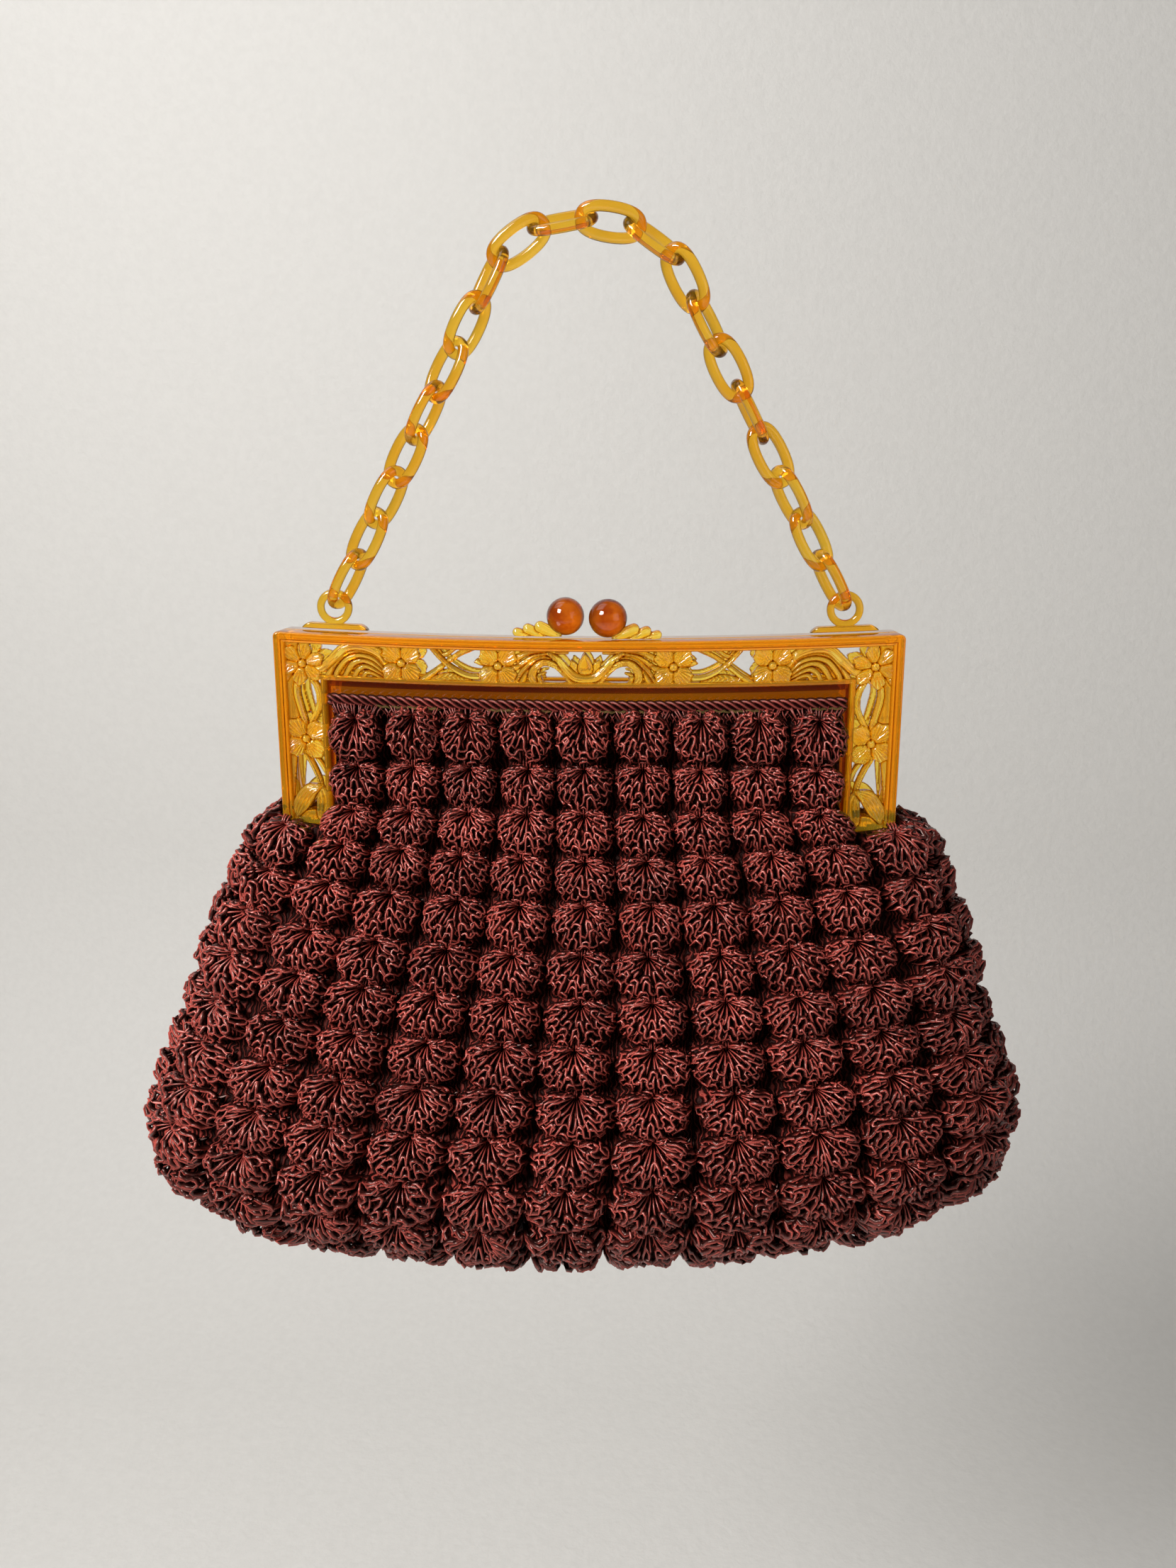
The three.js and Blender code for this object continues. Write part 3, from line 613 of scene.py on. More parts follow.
# Ornament of the top bar, from the lowest layer up: path as distance from the middle and height about the
# band's middle, widths at start, middle and end, height along the middle and the edge, and where it has them
# ridges along and a comb across.
BAR_STEMS = [
    ([(4.6, 3.6), (9.4, 3.5), (13.4, 2.2), (17.8, -0.4)], (0.8, 1.6, 1.6), 6.2, 5.4, 2),
    ([(7.4, 2.2), (12.0, 2.0), (15.2, -0.4), (18.0, -3.9)], (0.6, 1.5, 1.4), 6.1, 5.3, 2),
    ([(10.0, 4.2), (14.4, 3.6), (18.6, 1.6)], (1.0, 1.4, 2.0), 6.0, 5.3, 2),
    ([(12.4, 0.9), (14.9, -1.6), (16.6, -4.4)], (0.7, 1.2, 1.5), 6.0, 5.3, 2),
    ([(3.4, -4.3), (5.2, -1.9), (7.8, 0.4), (10.8, 1.0), (13.0, -0.6), (13.5, -2.6), (12.2, -4.4)],
     (1.6, 1.9, 2.8), 6.4, 5.5, 3),
    ([(10.2, -1.6), (11.8, -2.2), (11.4, -4.3)], (0.6, 1.2, 1.4), 6.0, 5.2, 0, 3),
    ([(1.2, -2.6), (2.6, -0.6), (3.5, 1.9)], (1.2, 2.8, 0.3), 6.3, 5.6, 2),
    ([(0, -2.6), (0, 0.4), (0, 3.6)], (1.6, 3.8, 0.2), 7.0, 6.0, 1),
    ([(-1.0, -3.0), (2.4, -2.6), (4.8, -0.6), (6.8, 1.8), (9.4, 3.4)], (2.0, 2.1, 1.0), 6.9, 5.9, 2),
    ([(29.6, -3.5), (34.4, -3.0), (41.0, -3.9)], (1.2, 2.2, 1.2), 5.8, 5.1, 0, 9),
    ([(33.0, 4.4), (36.4, 2.4), (38.0, 4.4)], (0.8, 1.3, 0.8), 5.7, 5.1),
    ([(28.6, 4.4), (32.4, 2.7), (36.2, 0.1), (39.4, -2.4), (42.2, -4.4)], (1.3, 1.4, 1.7), 6.3, 5.4, 2),
    ([(24.5, -2.6), (29.4, -2.7), (33.0, -1.4), (36.2, 0.8), (39.6, 4.4)], (1.7, 1.5, 1.3), 6.6, 5.5, 2),
    ([(50.5, -2.4), (55.5, 0.4), (60.0, 0.4), (65.0, -3.0)], (3.0, 6.4, 3.0), 5.3, 5.1),
    ([(52.2, -4.3), (54.6, -3.0), (56.4, -2.9), (57.4, -4.3)], (0.8, 1.1, 1.1), 5.9, 5.2),
    ([(51.4, -3.7), (54.6, -1.9), (56.8, -1.3), (58.6, -2.4), (59.6, -4.2)], (0.8, 1.2, 1.3), 6.0, 5.2),
    ([(51.0, -3.2), (54.4, -0.7), (57.4, 0.2), (60.0, -0.9), (61.9, -3.9)], (0.9, 1.3, 1.3), 6.1, 5.2),
    ([(50.8, -2.6), (54.0, 0.5), (57.8, 1.5), (61.2, 0.5), (63.8, -2.6), (64.4, -4.1)],
     (1.0, 1.3, 1.3), 6.2, 5.2),
    ([(50.6, -2.0), (53.4, 1.5), (57.4, 2.8), (61.6, 2.0), (64.6, -0.9), (66.4, -3.8)],
     (1.0, 1.3, 1.5), 6.3, 5.3),
    ([(50.2, -1.2), (52.8, 2.3), (57.0, 4.0), (61.4, 3.6), (65.0, 0.5), (68.0, -2.2), (71.6, -2.6)],
     (1.6, 2.5, 1.6), 6.9, 5.8, 2),
    ([(19.2, -0.6), (17.8, -0.4), (16.6, 0.2)], (1.6, 1.6, 0.3), 6.0, 5.4, 1),
    ([(25.6, 0.6), (27.2, 1.0), (28.4, 0.8)], (1.6, 1.9, 0.5), 6.0, 5.4, 1),
]
# Ornament of a leg: path as distance from the middle and height below the frame's top, then as above.
LEG_STEMS = [
    ([(75.4, -8.6), (76.6, -10.6), (77.2, -12.6)], (1.6, 1.8, 0.6), 6.0, 5.4),
    ([(73.8, -10.5), (74.7, -15.2), (73.8, -20), (72.4, -25)], (1.6, 1.8, 1.5), 6.3, 5.4, 2),
    ([(71.4, -10.6), (69.2, -14.6), (69.1, -18.8), (71.8, -24.4)], (1.4, 1.9, 1.4), 6.3, 5.3, 2),
    ([(71.6, -31.4), (69.6, -34.2), (67.9, -37.4)], (1.1, 1.3, 1.2), 6.0, 5.3),
    ([(73.6, -31), (71.4, -35.2), (69.9, -39.4), (70.0, -43)], (1.6, 1.5, 1.6), 6.4, 5.4, 2),
    ([(69.8, -40.6), (69.2, -44.2), (69.8, -48.6)], (1.4, 3.6, 2.6), 6.5, 5.4, 3),
    ([(70.4, -40.8), (73.0, -42.4), (75.4, -46.0), (76.2, -48.4)], (1.8, 4.6, 1.4), 6.7, 5.4, 5),
]
# Flowers: distance from the middle, height below the frame's top, petals, reach, turn, veins.
FLOWERS = [
    (22.4, BAND_MIDDLE, 4, 5.9, 0, 32),
    (47.3, BAND_MIDDLE, 4, 6.0, 0, 32),
    (73.0, -8.0, 6, 5.9, 0.2, 30),
    (72.9, -27.8, 4, 6.2, 0.1, 32),
]


def least(*distances):
    """How far inside all of several edges."""
    return np.minimum.reduce(np.broadcast_arrays(*distances))


def ornament(x, w, lug_x):
    """The pierced band of one half, over points given as place along it and height below its bowed top edge:
    the bar's stems, a plain strip and foot for the leg, its stems, the flowers, and a lug behind."""
    a = np.abs(x)
    carving = Carving(a, w - BAND_MIDDLE, BAND_LOW, BAND_BACK)
    for stem in BAR_STEMS:
        carving.stem(*stem)
    carving.z = w
    strip = least(a - (75.3 - 0.12 * np.clip(w + 30, -18, 12)), 77.3 - a, -2.5 - w)
    foot = least(a - 66.9, 77.3 - a, -47.2 - w)
    for form, front in ((strip, 5.5), (foot, 5.4)):
        carving.lay(np.nonzero(form > -1), form[form > -1], front)
    for stem in LEG_STEMS:
        carving.stem(*stem)
    for flower in FLOWERS:
        carving.flower(*flower)
    lug = least(LUG[0] - np.abs(a - lug_x), LUG[1] - np.abs(w - PIN_Z))
    carving.back = np.where(lug > 0, LUG_BACK, carving.back)
    band = least(np.maximum(a - BAND_INNER, w - BAND_UNDER), BAND_OUTER - a, BAND_TOP - w)
    carving.inside = least(carving.inside, band, w - LEG_END)
    carving.front = np.clip(carving.front, BAND_LOW, BAND_HIGH)
    return carving


# Sections of the arched mouldings: inset from the outer edge at the sides and on top, distance out, and tone,
# which is painted light: painted shade in the grooves and in the dark groove under the bar, painted
# highlights on the bevels and ridges, and streaks along the flat faces that are partly painted reflection.
RIM_SECTION = [
    (0, 0, 6.3, 0.3), (0.12, 0.12, 6.8, 0.66), (0.35, 0.35, 7.1, 0.62), (0.6, 0.6, 7.2, 0.34),
    (0.8, 0.8, 7.2, 0.5), (1.1, 1.05, 7.2, 0.6), (1.35, 1.3, 7.2, 0.36), (1.6, 1.5, 7.2, 0.54),
    (1.9, 1.8, 7.2, 0.5), (2.0, 1.88, 6.9, 0.1), (2.12, 2.0, 6.85, 0.1), (2.2, 2.06, 7.0, 0.58),
    (2.7, 2.5, 6.9, 0.56), (2.9, 2.7, 6.5, 0.3), (2.9, 2.7, 0.5, 0.4), (2.6, 2.4, 0.2, 0.5),
    (0.4, 0.4, 0.2, 0.5), (0, 0, 0.6, 0.45),
]
BAR_SECTION = [
    (11.7, 10.6, 5.6, 0.3), (11.75, 10.65, 6.3, 0.5), (11.95, 10.85, 6.8, 0.62), (12.4, 11.3, 6.9, 0.58),
    (12.9, 11.7, 6.75, 0.5), (13.3, 11.95, 6.2, 0.3), (13.4, 12.0, 5.0, 0.06), (13.5, 12.1, 4.35, 0.02),
    (13.9, 13.5, 4.35, 0.08), (14.0, 13.6, 4.6, 0.3), (18.9, 19.5, 4.6, 0.24), (18.9, 19.5, 2.8, 0.3),
    (13.4, 13.1, 2.8, 0.3), (11.7, 10.6, 3.4, 0.3),
]


def moulding(section):
    """A section carried up one leg, round a small corner, along the top and down the other leg."""
    side, top, out, tone = (np.array(column)[:, None] for column in zip(*section))
    corner = np.maximum(CORNER - side, 0.15)
    rise = np.linspace(0, 1, 16)
    turn = np.linspace(0, np.pi / 2, 6)[1:-1]
    run = np.linspace(-1, 1, 81)
    leg_x = np.broadcast_to(side - HALF_WIDTH, (len(section), rise.size))
    leg_w = LEG_END + (-top - corner - LEG_END) * rise
    bend_x = side - HALF_WIDTH + corner * (1 - np.cos(turn))
    bend_w = -top - corner * (1 - np.sin(turn))
    top_x = (HALF_WIDTH - side - corner) * run
    top_w = np.broadcast_to(-top, top_x.shape)
    x = np.concatenate([leg_x, bend_x, top_x, -bend_x[:, ::-1], -leg_x[:, ::-1]], 1)
    w = np.concatenate([leg_w, bend_w, top_w, bend_w[:, ::-1], leg_w[:, ::-1]], 1)
    out, tone = np.broadcast_to(out, x.shape), np.broadcast_to(tone, x.shape)
    index = numbered(x)
    faces = [grid_faces(index, True), np.stack([index[:, 0], index[::-1, -1]])]
    return np.stack([x, w], -1).reshape(-1, 2), out.ravel(), faces, tone.ravel()


def frame_piece(name, place, out, faces, tone, facing, node):
    """A frame surface in its half: place along and up, distance out from the middle. The front faces -1."""
    points = np.stack([place[:, 0], facing * out, sag(place[:, 0], place[:, 1])], -1)
    faces = [group if facing < 0 else group[:, ::-1] for group in faces]
    make_piece(name, points, faces, FRAME_AMBER, [node], sharp=42, tone=tone)


for name, lug_x, facing in (("front", PIN_X - LUG_STEP, -1), ("back", PIN_X + LUG_STEP, 1)):
    node = f"frame_{name}"
    band = lambda x, w: ornament(x, w, lug_x)
    for label, section in (("rim", RIM_SECTION), ("bar_and_ledge", BAR_SECTION)):
        frame_piece(f"frame_{label}_{name}", *moulding(section), facing, node)
    for label, low, high in (("top", (-77.6, -11), (77.6, -2.2)),
                             ("left_leg", (-77.6, LEG_END), (-66.8, -11)),
                             ("right_leg", (66.8, LEG_END), (77.6, -11))):
        place, out, faces, tone = plate(low, high, CARVING_STEP[name], band)
        frame_piece(f"carving_{label}_{name}", place, out, [faces], tone, facing, node)


def ball_surface():
    """A polished ball with both poles closed."""
    u, v = lattice(circle(56), np.linspace(0, np.pi, 33)[1:-1])
    ball = BALL_RADIUS * np.stack([np.sin(v) * np.cos(u), np.sin(v) * np.sin(u), np.cos(v)], -1)
    ball = np.concatenate([ball.reshape(-1, 3), [[0, 0, BALL_RADIUS], [0, 0, -BALL_RADIUS]]])
    index = numbered(u)
    ring = np.concatenate([index, index[:1]])
    pole = np.full(len(index), u.size)
    poles = np.concatenate([np.stack([ring[:-1, 0], ring[1:, 0], pole], -1),
                            np.stack([ring[1:, -1], ring[:-1, -1], pole + 1], -1)])
    return ball + (BALL_X, 0, BALL_HEIGHT), grid_faces(index, True)[:, ::-1], poles


# Leaf beside a ball: three lobes by path and width.
LEAF_LOBES = [
    ([(9.4, -2.0), (14.8, -1.6), (18.2, -0.8)], (1.4, 2.0, 2.3)),
    ([(8.4, -1.8), (12.6, -1.0), (15.4, 0.1)], (1.6, 2.4, 2.6)),
    ([(7.4, -1.6), (10.0, -0.4), (12.2, 0.6)], (1.8, 2.8, 2.9)),
]


def leaf_shape(x, z):
    """Three lobes that sweep out along the bar, each laid over the one outside it, thickest along their
    middles."""
    carving = Carving(x, z, 0.4, 0.0)
    for path, width in LEAF_LOBES:
        carving.stem(path, width, 1.9, 0.7, 2)
    carving.inside = np.minimum(carving.inside, z - bow(x) - SEAT)
    carving.front = np.maximum(carving.front, 0.3)
    carving.back = -carving.front
    return carving


ball, ball_quads, ball_poles = ball_surface()
# The leaf gets painted highlight and painted shade from its carving, as the frame does.
place, out, leaf_faces, leaf_painted_light = plate((6, -2.6), (20.4, 2.6), 0.2, leaf_shape)
leaf = np.stack([place[:, 0], -out, place[:, 1]], -1)
for name, turn in (("front", 1), ("back", -1)):
    seat = lambda points: points * (turn, turn, 1) + (0, -turn * BALL_Y, TOP_Z)
    node = [f"clasp_knob_{name}"]
    make_piece(f"clasp_ball_{name}", seat(ball), [ball_quads, ball_poles], KNOB_AMBER, node)
    make_piece(f"clasp_leaf_{name}", seat(leaf), [leaf_faces], FRAME_AMBER, node, sharp=60,
               tone=leaf_painted_light)


# ---- crochet

def section_at(row):
    """The pouch's section at any row: a smooth cubic through the rows of the table."""
    k = np.clip(np.searchsorted(POUCH[:, 0], row, side="left") - 1, 0, len(POUCH) - 2)
    a, b = POUCH[k], POUCH[k + 1]
    before, after = POUCH[np.maximum(k - 1, 0)], POUCH[np.minimum(k + 2, len(POUCH) - 1)]
    gap = b[..., :1] - a[..., :1]
    t = (row[..., None] - a[..., :1]) / gap
    leave = (b - before) / (b[..., :1] - before[..., :1]) * gap
    arrive = (after - a) / (after[..., :1] - a[..., :1]) * gap
    rise = b - a
    return a + t * (leave + t * (3 * rise - 2 * leave - arrive + t * (leave + arrive - 2 * rise)))


def ground(column, row):
    """Point of the pouch's ground: columns run along the front, round the right side, the back and the left
    side, on a squarish oval that leans and lifts at its sides."""
    column, row = np.broadcast_arrays(np.asarray(column, float) % COLUMNS, np.asarray(row, float))
    section = section_at(np.clip(row, 0, ROWS))
    _, z, depth, width, lean, pitch, square, lift, rise = np.moveaxis(section, -1, 0)
    rear = column >= AROUND
    place = np.where(rear, column - AROUND, column)
    edge = np.arcsin(np.minimum(FRONT_COLUMNS / 2 * pitch / width, 1) ** (square / 2))
    x = (place - FRONT_COLUMNS / 2) * pitch
    y = -depth * np.maximum(1 - np.abs(x / width) ** square, 0) ** (1 / square)
    angle = edge + (place - FRONT_COLUMNS) / SIDE_COLUMNS * (np.pi - 2 * edge)
    bend = place > FRONT_COLUMNS
    x = np.where(bend, width * np.abs(np.sin(angle)) ** (2 / square), x)
    y = np.where(bend, -depth * np.sign(np.cos(angle)) * np.abs(np.cos(angle)) ** (2 / square), y)
    turn = np.where(rear, -1, 1)
    across = turn * x / width
    return np.stack([turn * x + lean, turn * y, z + lift * across ** 2 + rise * across + TOP_Z], -1)


def outward(column, row):
    """The way out of the ground, square to a short step along and a short step down."""
    step = 0.05
    along = ground(column + step, row) - ground(column - step, row)
    down = ground(column, np.minimum(row + step, ROWS)) - ground(column, np.maximum(row - step, 0))
    return unit(np.cross(down, along))


def worked(column, row, height):
    """Points that stand a height above the ground, with the way out there. The top of each side turns in
    round the frame's foot."""
    out = outward(column, row)
    beside = np.clip(np.sin(np.pi * (column % AROUND - FRONT_COLUMNS) / SIDE_COLUMNS), 0, 1)
    beside = np.where(column % AROUND > FRONT_COLUMNS, beside, 0) ** 0.5
    turned_in = TUCK * beside * np.clip((SLIT_ROWS + TUCK_ROWS - row) / (LAP + TUCK_ROWS), 0, 1) ** 2
    return ground(column, row) + (np.asarray(height) - turned_in)[..., None] * out, out


TUCK = 6.5              # how far the top of each side turns in round the frame's foot
TUCK_ROWS = 1.2         # over how many rows below the slit it does so
PIN_ROW = 0.15          # where in its row a bobble's pinhole lies
TRIM = 0.08             # how far the ground's edge beside the frame's legs is drawn in, in columns
LAP = 1 / 3             # how far the first bobbles at the sides lap up over the frame's feet, in rows
CELL_COLUMN, CELL_ROW = lattice(np.arange(COLUMNS), np.arange(ROWS))
OPEN_SIDE = (CELL_ROW < SLIT_ROWS) & (CELL_COLUMN % AROUND >= FRONT_COLUMNS)
CELL_COLUMN, CELL_ROW = CELL_COLUMN[~OPEN_SIDE].astype(float), CELL_ROW[~OPEN_SIDE].astype(float)
CELLS = len(CELL_COLUMN)
CELL_NUMBER = np.full((COLUMNS, ROWS), -1)
CELL_NUMBER[CELL_COLUMN.astype(int), CELL_ROW.astype(int)] = np.arange(CELLS)
FIRST_AT_SIDE = (CELL_ROW == SLIT_ROWS) & (CELL_COLUMN % AROUND >= FRONT_COLUMNS)
CELL_ROW = CELL_ROW - LAP * FIRST_AT_SIDE
SPAN = 1 + LAP * FIRST_AT_SIDE
ROOM_ACROSS = ground(CELL_COLUMN + 0.7, CELL_ROW + 0.5) - ground(CELL_COLUMN + 0.3, CELL_ROW + 0.5)
ROOM_DOWN = ground(CELL_COLUMN + 0.5, CELL_ROW + 0.8) - ground(CELL_COLUMN + 0.5, CELL_ROW + 0.2)
WIDE = np.linalg.norm(ROOM_ACROSS, axis=-1) / 0.4
TALL = np.linalg.norm(ROOM_DOWN, axis=-1) / 0.6 * SPAN
LOFT = np.clip(3.6 + 0.15 * WIDE, 5.4, 6.7) * rng.uniform(0.95, 1.1, CELLS)
LOFT = LOFT * np.where(CELL_COLUMN % AROUND >= FRONT_COLUMNS, 0.85, 1)
SIZE = rng.uniform(0.98, 1.07, CELLS)
TILT = np.radians(9) * rng.uniform(-1, 1, CELLS)
SHIFT_COLUMN, SHIFT_ROW = rng.uniform(-0.03, 0.03, (2, CELLS))
# A bobble's outline as shares of its room: half width, middle and foot, and how square it is.
FAN_HALF, FAN_MIDDLE, FAN_FOOT, FAN_SQUARE, HALVINGS = 0.48, 0.27, 0.94, 2.2, 14


def fan_reach(angle, cell):
    """Distance from pinhole to rim of a bobble, found by halving: a squarish oval round a middle below the
    pinhole, with a low flat top and a rounded foot."""
    across, down = np.sin(angle), np.cos(angle)
    wide = SIZE[cell] * (FAN_HALF + 0.001 * CELL_ROW[cell]) * WIDE[cell]
    middle = FAN_MIDDLE * TALL[cell]
    foot = SIZE[cell] * FAN_FOOT * TALL[cell] - middle
    low = np.zeros(np.broadcast(angle, wide).shape)
    high = low + 20.0
    for _ in range(HALVINGS):
        reach = (low + high) / 2
        fall = reach * down - middle
        drop = np.abs(fall) / np.where(fall > 0, foot, middle + 1.5)
        inside = (np.abs(reach * across) / wide) ** FAN_SQUARE + drop ** FAN_SQUARE < 1
        low, high = np.where(inside, reach, low), np.where(inside, high, reach)
    return low


def fan_height(share, angle, cell):
    """A bobble's dome along a spoke: a dimple at the pinhole, full to near its rim, then steeply down."""
    dome = np.clip(1 - np.abs(share) ** 5.5, 0, 1) ** 0.58 * (1 - 0.8 * np.exp(-((share / 0.2) ** 2)))
    return LOFT[cell] * dome * (1 - 0.4 * np.clip(-np.cos(angle), 0, 1))


def on_bobble(share, angle, cell, raise_by=0.0):
    """Points on bobbles by share of the spoke and angle from straight down, with the way out there."""
    angle = angle + TILT[cell]
    reach = share * fan_reach(angle, cell)
    column = CELL_COLUMN[cell] + SHIFT_COLUMN[cell] + 0.5 + reach * np.sin(angle) / WIDE[cell]
    row = CELL_ROW[cell] + SHIFT_ROW[cell] + SPAN[cell] * (PIN_ROW + reach * np.cos(angle) / TALL[cell])
    return worked(column, row, fan_height(share, angle, cell) + raise_by)


SPOKES, SPOKE_STEPS, CORD_SIDES = 10, 5, 3
CORD_RADIUS = 0.54


def spokes(cells):
    """Radial strands: from the pinhole out over the dome, thin at the pinhole, tucked in at the far end."""
    cell = cells[:, None, None]
    shape = (len(cells), SPOKES, 1)
    angle = np.radians(np.linspace(-108, 108, SPOKES))[:, None] + np.radians(6) * rng.uniform(-1, 1, shape)
    bend = np.radians(12) * rng.uniform(-1, 1, shape)
    end = 0.46 + 0.018 * CELL_ROW[cell] + 0.1 * rng.uniform(-1, 1, shape)
    t = np.linspace(0, 1, SPOKE_STEPS)
    share = 0.05 + (end - 0.05) * t
    tuck = -1.0 * np.clip((t - 0.75) / 0.25, 0, 1) + 0.3 * rng.uniform(-1, 1, shape)
    path, out = on_bobble(share, angle + bend * t ** 2, cell, tuck)
    return cords(path, out, 1.12 * CORD_RADIUS * np.clip(0.5 + 1.2 * t, 0, 1), CORD_SIDES)


def worm_loops(cells, waves, low, high, lift, thick):
    """A meandering strand round each bobble: it swings in and out along the spokes as it goes round the fan
    and doubles back on itself, each swing a little different, with both ends sunk in."""
    cell = cells[:, None]
    draw = lambda spread: spread * rng.uniform(-1, 1, (len(cells), 1))
    t = np.linspace(0, 1, 7 * waves + 1)
    drift = 0.6 * np.sin(2 * np.pi * (2.3 * t + draw(1))) + 0.45 * np.sin(2 * np.pi * (4.1 * t + draw(1)))
    phase = 2 * np.pi * waves * t + draw(np.pi) + drift
    angle = np.radians(-124) + np.radians(248) * (t - 0.11 / waves * np.sin(2 * phase) + draw(0.02))
    swing = 1 + 0.4 * np.sin(2 * np.pi * (3.7 * t + draw(1)))
    share = (low + high) / 2 + (high - low) / 2 * swing * np.sin(phase)
    lean = 0.65 * np.cos(phase + draw(2)) + 0.35 * np.sin(2 * np.pi * (5.3 * t + draw(1)))
    sunk = 1.8 * np.exp(-((2 * waves * np.minimum(t, 1 - t)) ** 2))
    path, out = on_bobble(np.clip(share, 0.25, 1.04), angle, cell, lift + lean - sunk)
    return cords(path, out, thick * CORD_RADIUS * (1 + 0.012 * CELL_ROW[cell]), CORD_SIDES)


def stems(cells):
    """Three short strands that drop from under each bobble into the next pinhole."""
    cell = cells[:, None, None]
    shape = (len(cells), 3, 1)
    t = np.linspace(0, 1, 4)
    side = np.array([-1, 0, 1])[:, None] + 0.25 * rng.uniform(-1, 1, shape)
    row = CELL_ROW[cell] - 0.17 + (PIN_ROW + 0.2) * t
    column = CELL_COLUMN[cell] + 0.5 + side * (0.9 - 0.2 * t) / WIDE[cell]
    path, out = worked(column, row, 1.4 + 2.4 * np.sin(np.pi * (0.1 + 0.75 * t)))
    return cords(path, out, CORD_RADIUS, CORD_SIDES)


# Tiers of loops from the pinhole to the rim: waves, from and to as shares of the spoke, and lift.
FULL_TIERS = [(8, 0.36, 0.64, 0.2), (10, 0.54, 0.82, 0.5), (11, 0.7, 0.94, 0.2), (11, 0.86, 1.0, 0.35)]
BACK_TIERS = [(7, 0.4, 0.68, 0.2), (8, 0.6, 0.9, 0.45), (9, 0.8, 1.0, 0.3)]


def crochet_region(name, mask, tiers, thick):
    """All the cords of the bobbles in one part of the pouch."""
    cells = np.flatnonzero(mask)
    points, faces, uv = join_cords([
        spokes(cells),
        *(worm_loops(cells, *tier, thick) for tier in tiers),
        stems(cells[CELL_ROW[cells] > 0]),
    ])
    return make_piece(name, points, faces, WINE_CORD, ["pouch"], uv=uv)


on_front = CELL_COLUMN < FRONT_COLUMNS
on_right = (CELL_COLUMN >= FRONT_COLUMNS) & (CELL_COLUMN < AROUND)
on_back = (CELL_COLUMN >= AROUND) & (CELL_COLUMN < AROUND + FRONT_COLUMNS)
on_left = CELL_COLUMN >= AROUND + FRONT_COLUMNS
upper = CELL_ROW < ROWS / 2
crochet = [
    crochet_region("bobbles_front_upper", on_front & upper, FULL_TIERS, 1.25),
    crochet_region("bobbles_front_lower", on_front & ~upper, FULL_TIERS, 1.25),
    crochet_region("bobbles_right", on_right, FULL_TIERS, 1.28),
    crochet_region("bobbles_back_upper", on_back & upper, BACK_TIERS, 1.35),
    crochet_region("bobbles_back_lower", on_back & ~upper, BACK_TIERS, 1.4),
    crochet_region("bobbles_left", on_left, FULL_TIERS, 1.28),
]


GROUND_SHARE, GROUND_DEPTH, GROUND_WALL, HAIR = 0.9, 0.55, 1.4, 1e-6


def ground_shell():
    """The close ground under the cords: the pouch's surface raised under each bobble, open above the hinges,
    drawn together along the bottom seam."""
    steps = 6
    column, row = lattice(np.arange(COLUMNS * steps) / steps, np.arange(ROWS * steps + 1) / steps)
    cell_row = np.minimum(np.floor(row - HAIR), ROWS - 1).clip(0)
    around = np.floor(column).astype(int)
    at_side = around % AROUND >= FRONT_COLUMNS
    above_lap = row < SLIT_ROWS - LAP - HAIR
    lapped = at_side & (cell_row == SLIT_ROWS - 1) & (row > SLIT_ROWS - LAP - HAIR)
    cell = CELL_NUMBER[around, np.where(lapped, SLIT_ROWS, cell_row).astype(int)]
    known = np.maximum(cell, 0)
    across = (column - CELL_COLUMN[known] - SHIFT_COLUMN[known] - 0.5) * WIDE[known]
    down = ((row - CELL_ROW[known] - SHIFT_ROW[known]) / SPAN[known] - PIN_ROW) * TALL[known]
    angle = np.arctan2(across, down)
    share = np.hypot(across, down) / fan_reach(angle, known)
    height = np.where(cell >= 0, GROUND_SHARE * fan_height(share, angle, known), 0) - GROUND_DEPTH
    beside_leg = above_lap & (around % AROUND == 0) & (column == around)
    past_leg = above_lap & (column % AROUND == FRONT_COLUMNS)
    points, _ = worked(column + TRIM * beside_leg - TRIM * past_leg, row, height)
    seam = points[:, -1:] * (1, 0, 1)
    points = np.concatenate([points, seam], 1)
    index = numbered(points[..., 0])
    wrap = np.concatenate([index, index[:1]])
    quads = np.stack([wrap[:-1, :-1], wrap[:-1, 1:], wrap[1:, 1:], wrap[1:, :-1]], -1)
    quads = quads[~(at_side & above_lap)]
    # Painted shade by height: low ground between the bobbles gets a low value and so a dark colour.
    tone = np.clip(height / LOFT.mean(), 0, 1)
    tone = np.concatenate([tone, tone[:, -1:]], 1)
    return points.reshape(-1, 3), quads.reshape(-1, 4), tone.ravel()


def weld(points, quads, tone):
    """Merges points that lie at the same place and drops faces that collapse."""
    _, first, new = np.unique(np.round(points, 3), axis=0, return_index=True, return_inverse=True)
    quads = new.reshape(-1)[quads]
    whole = (np.diff(np.sort(quads, 1), axis=1) > 0).all(1)
    return points[first], [quads[whole]], tone[first]


points, faces, tone = weld(*ground_shell())
shell = make_piece("crochet_ground", points, faces, CROCHET_GROUND, ["pouch"], tone=tone)
thick = shell.modifiers.new("wall", "SOLIDIFY")
thick.thickness = GROUND_WALL * MM
thick.offset = -1


# ---- top edge

def edge_point(x, drop, out, facing):
    """A point on the mouth's edge, along the frame's ledge."""
    return np.stack(np.broadcast_arrays(x, facing * out, bow(x) - drop + TOP_Z), -1)


EDGE_END, ROPE_TURN, ROPE_DROP, ROPE_OUT = 65.8, 9.5, 16.4, 8.2
ROPE_RADIUS, CORE_RADIUS, THREAD_RADIUS = 0.64, 1.0, 0.28
POST_STEP, LOOP_STEP, STITCH_STEP = 1.15, 2.3, 4.1


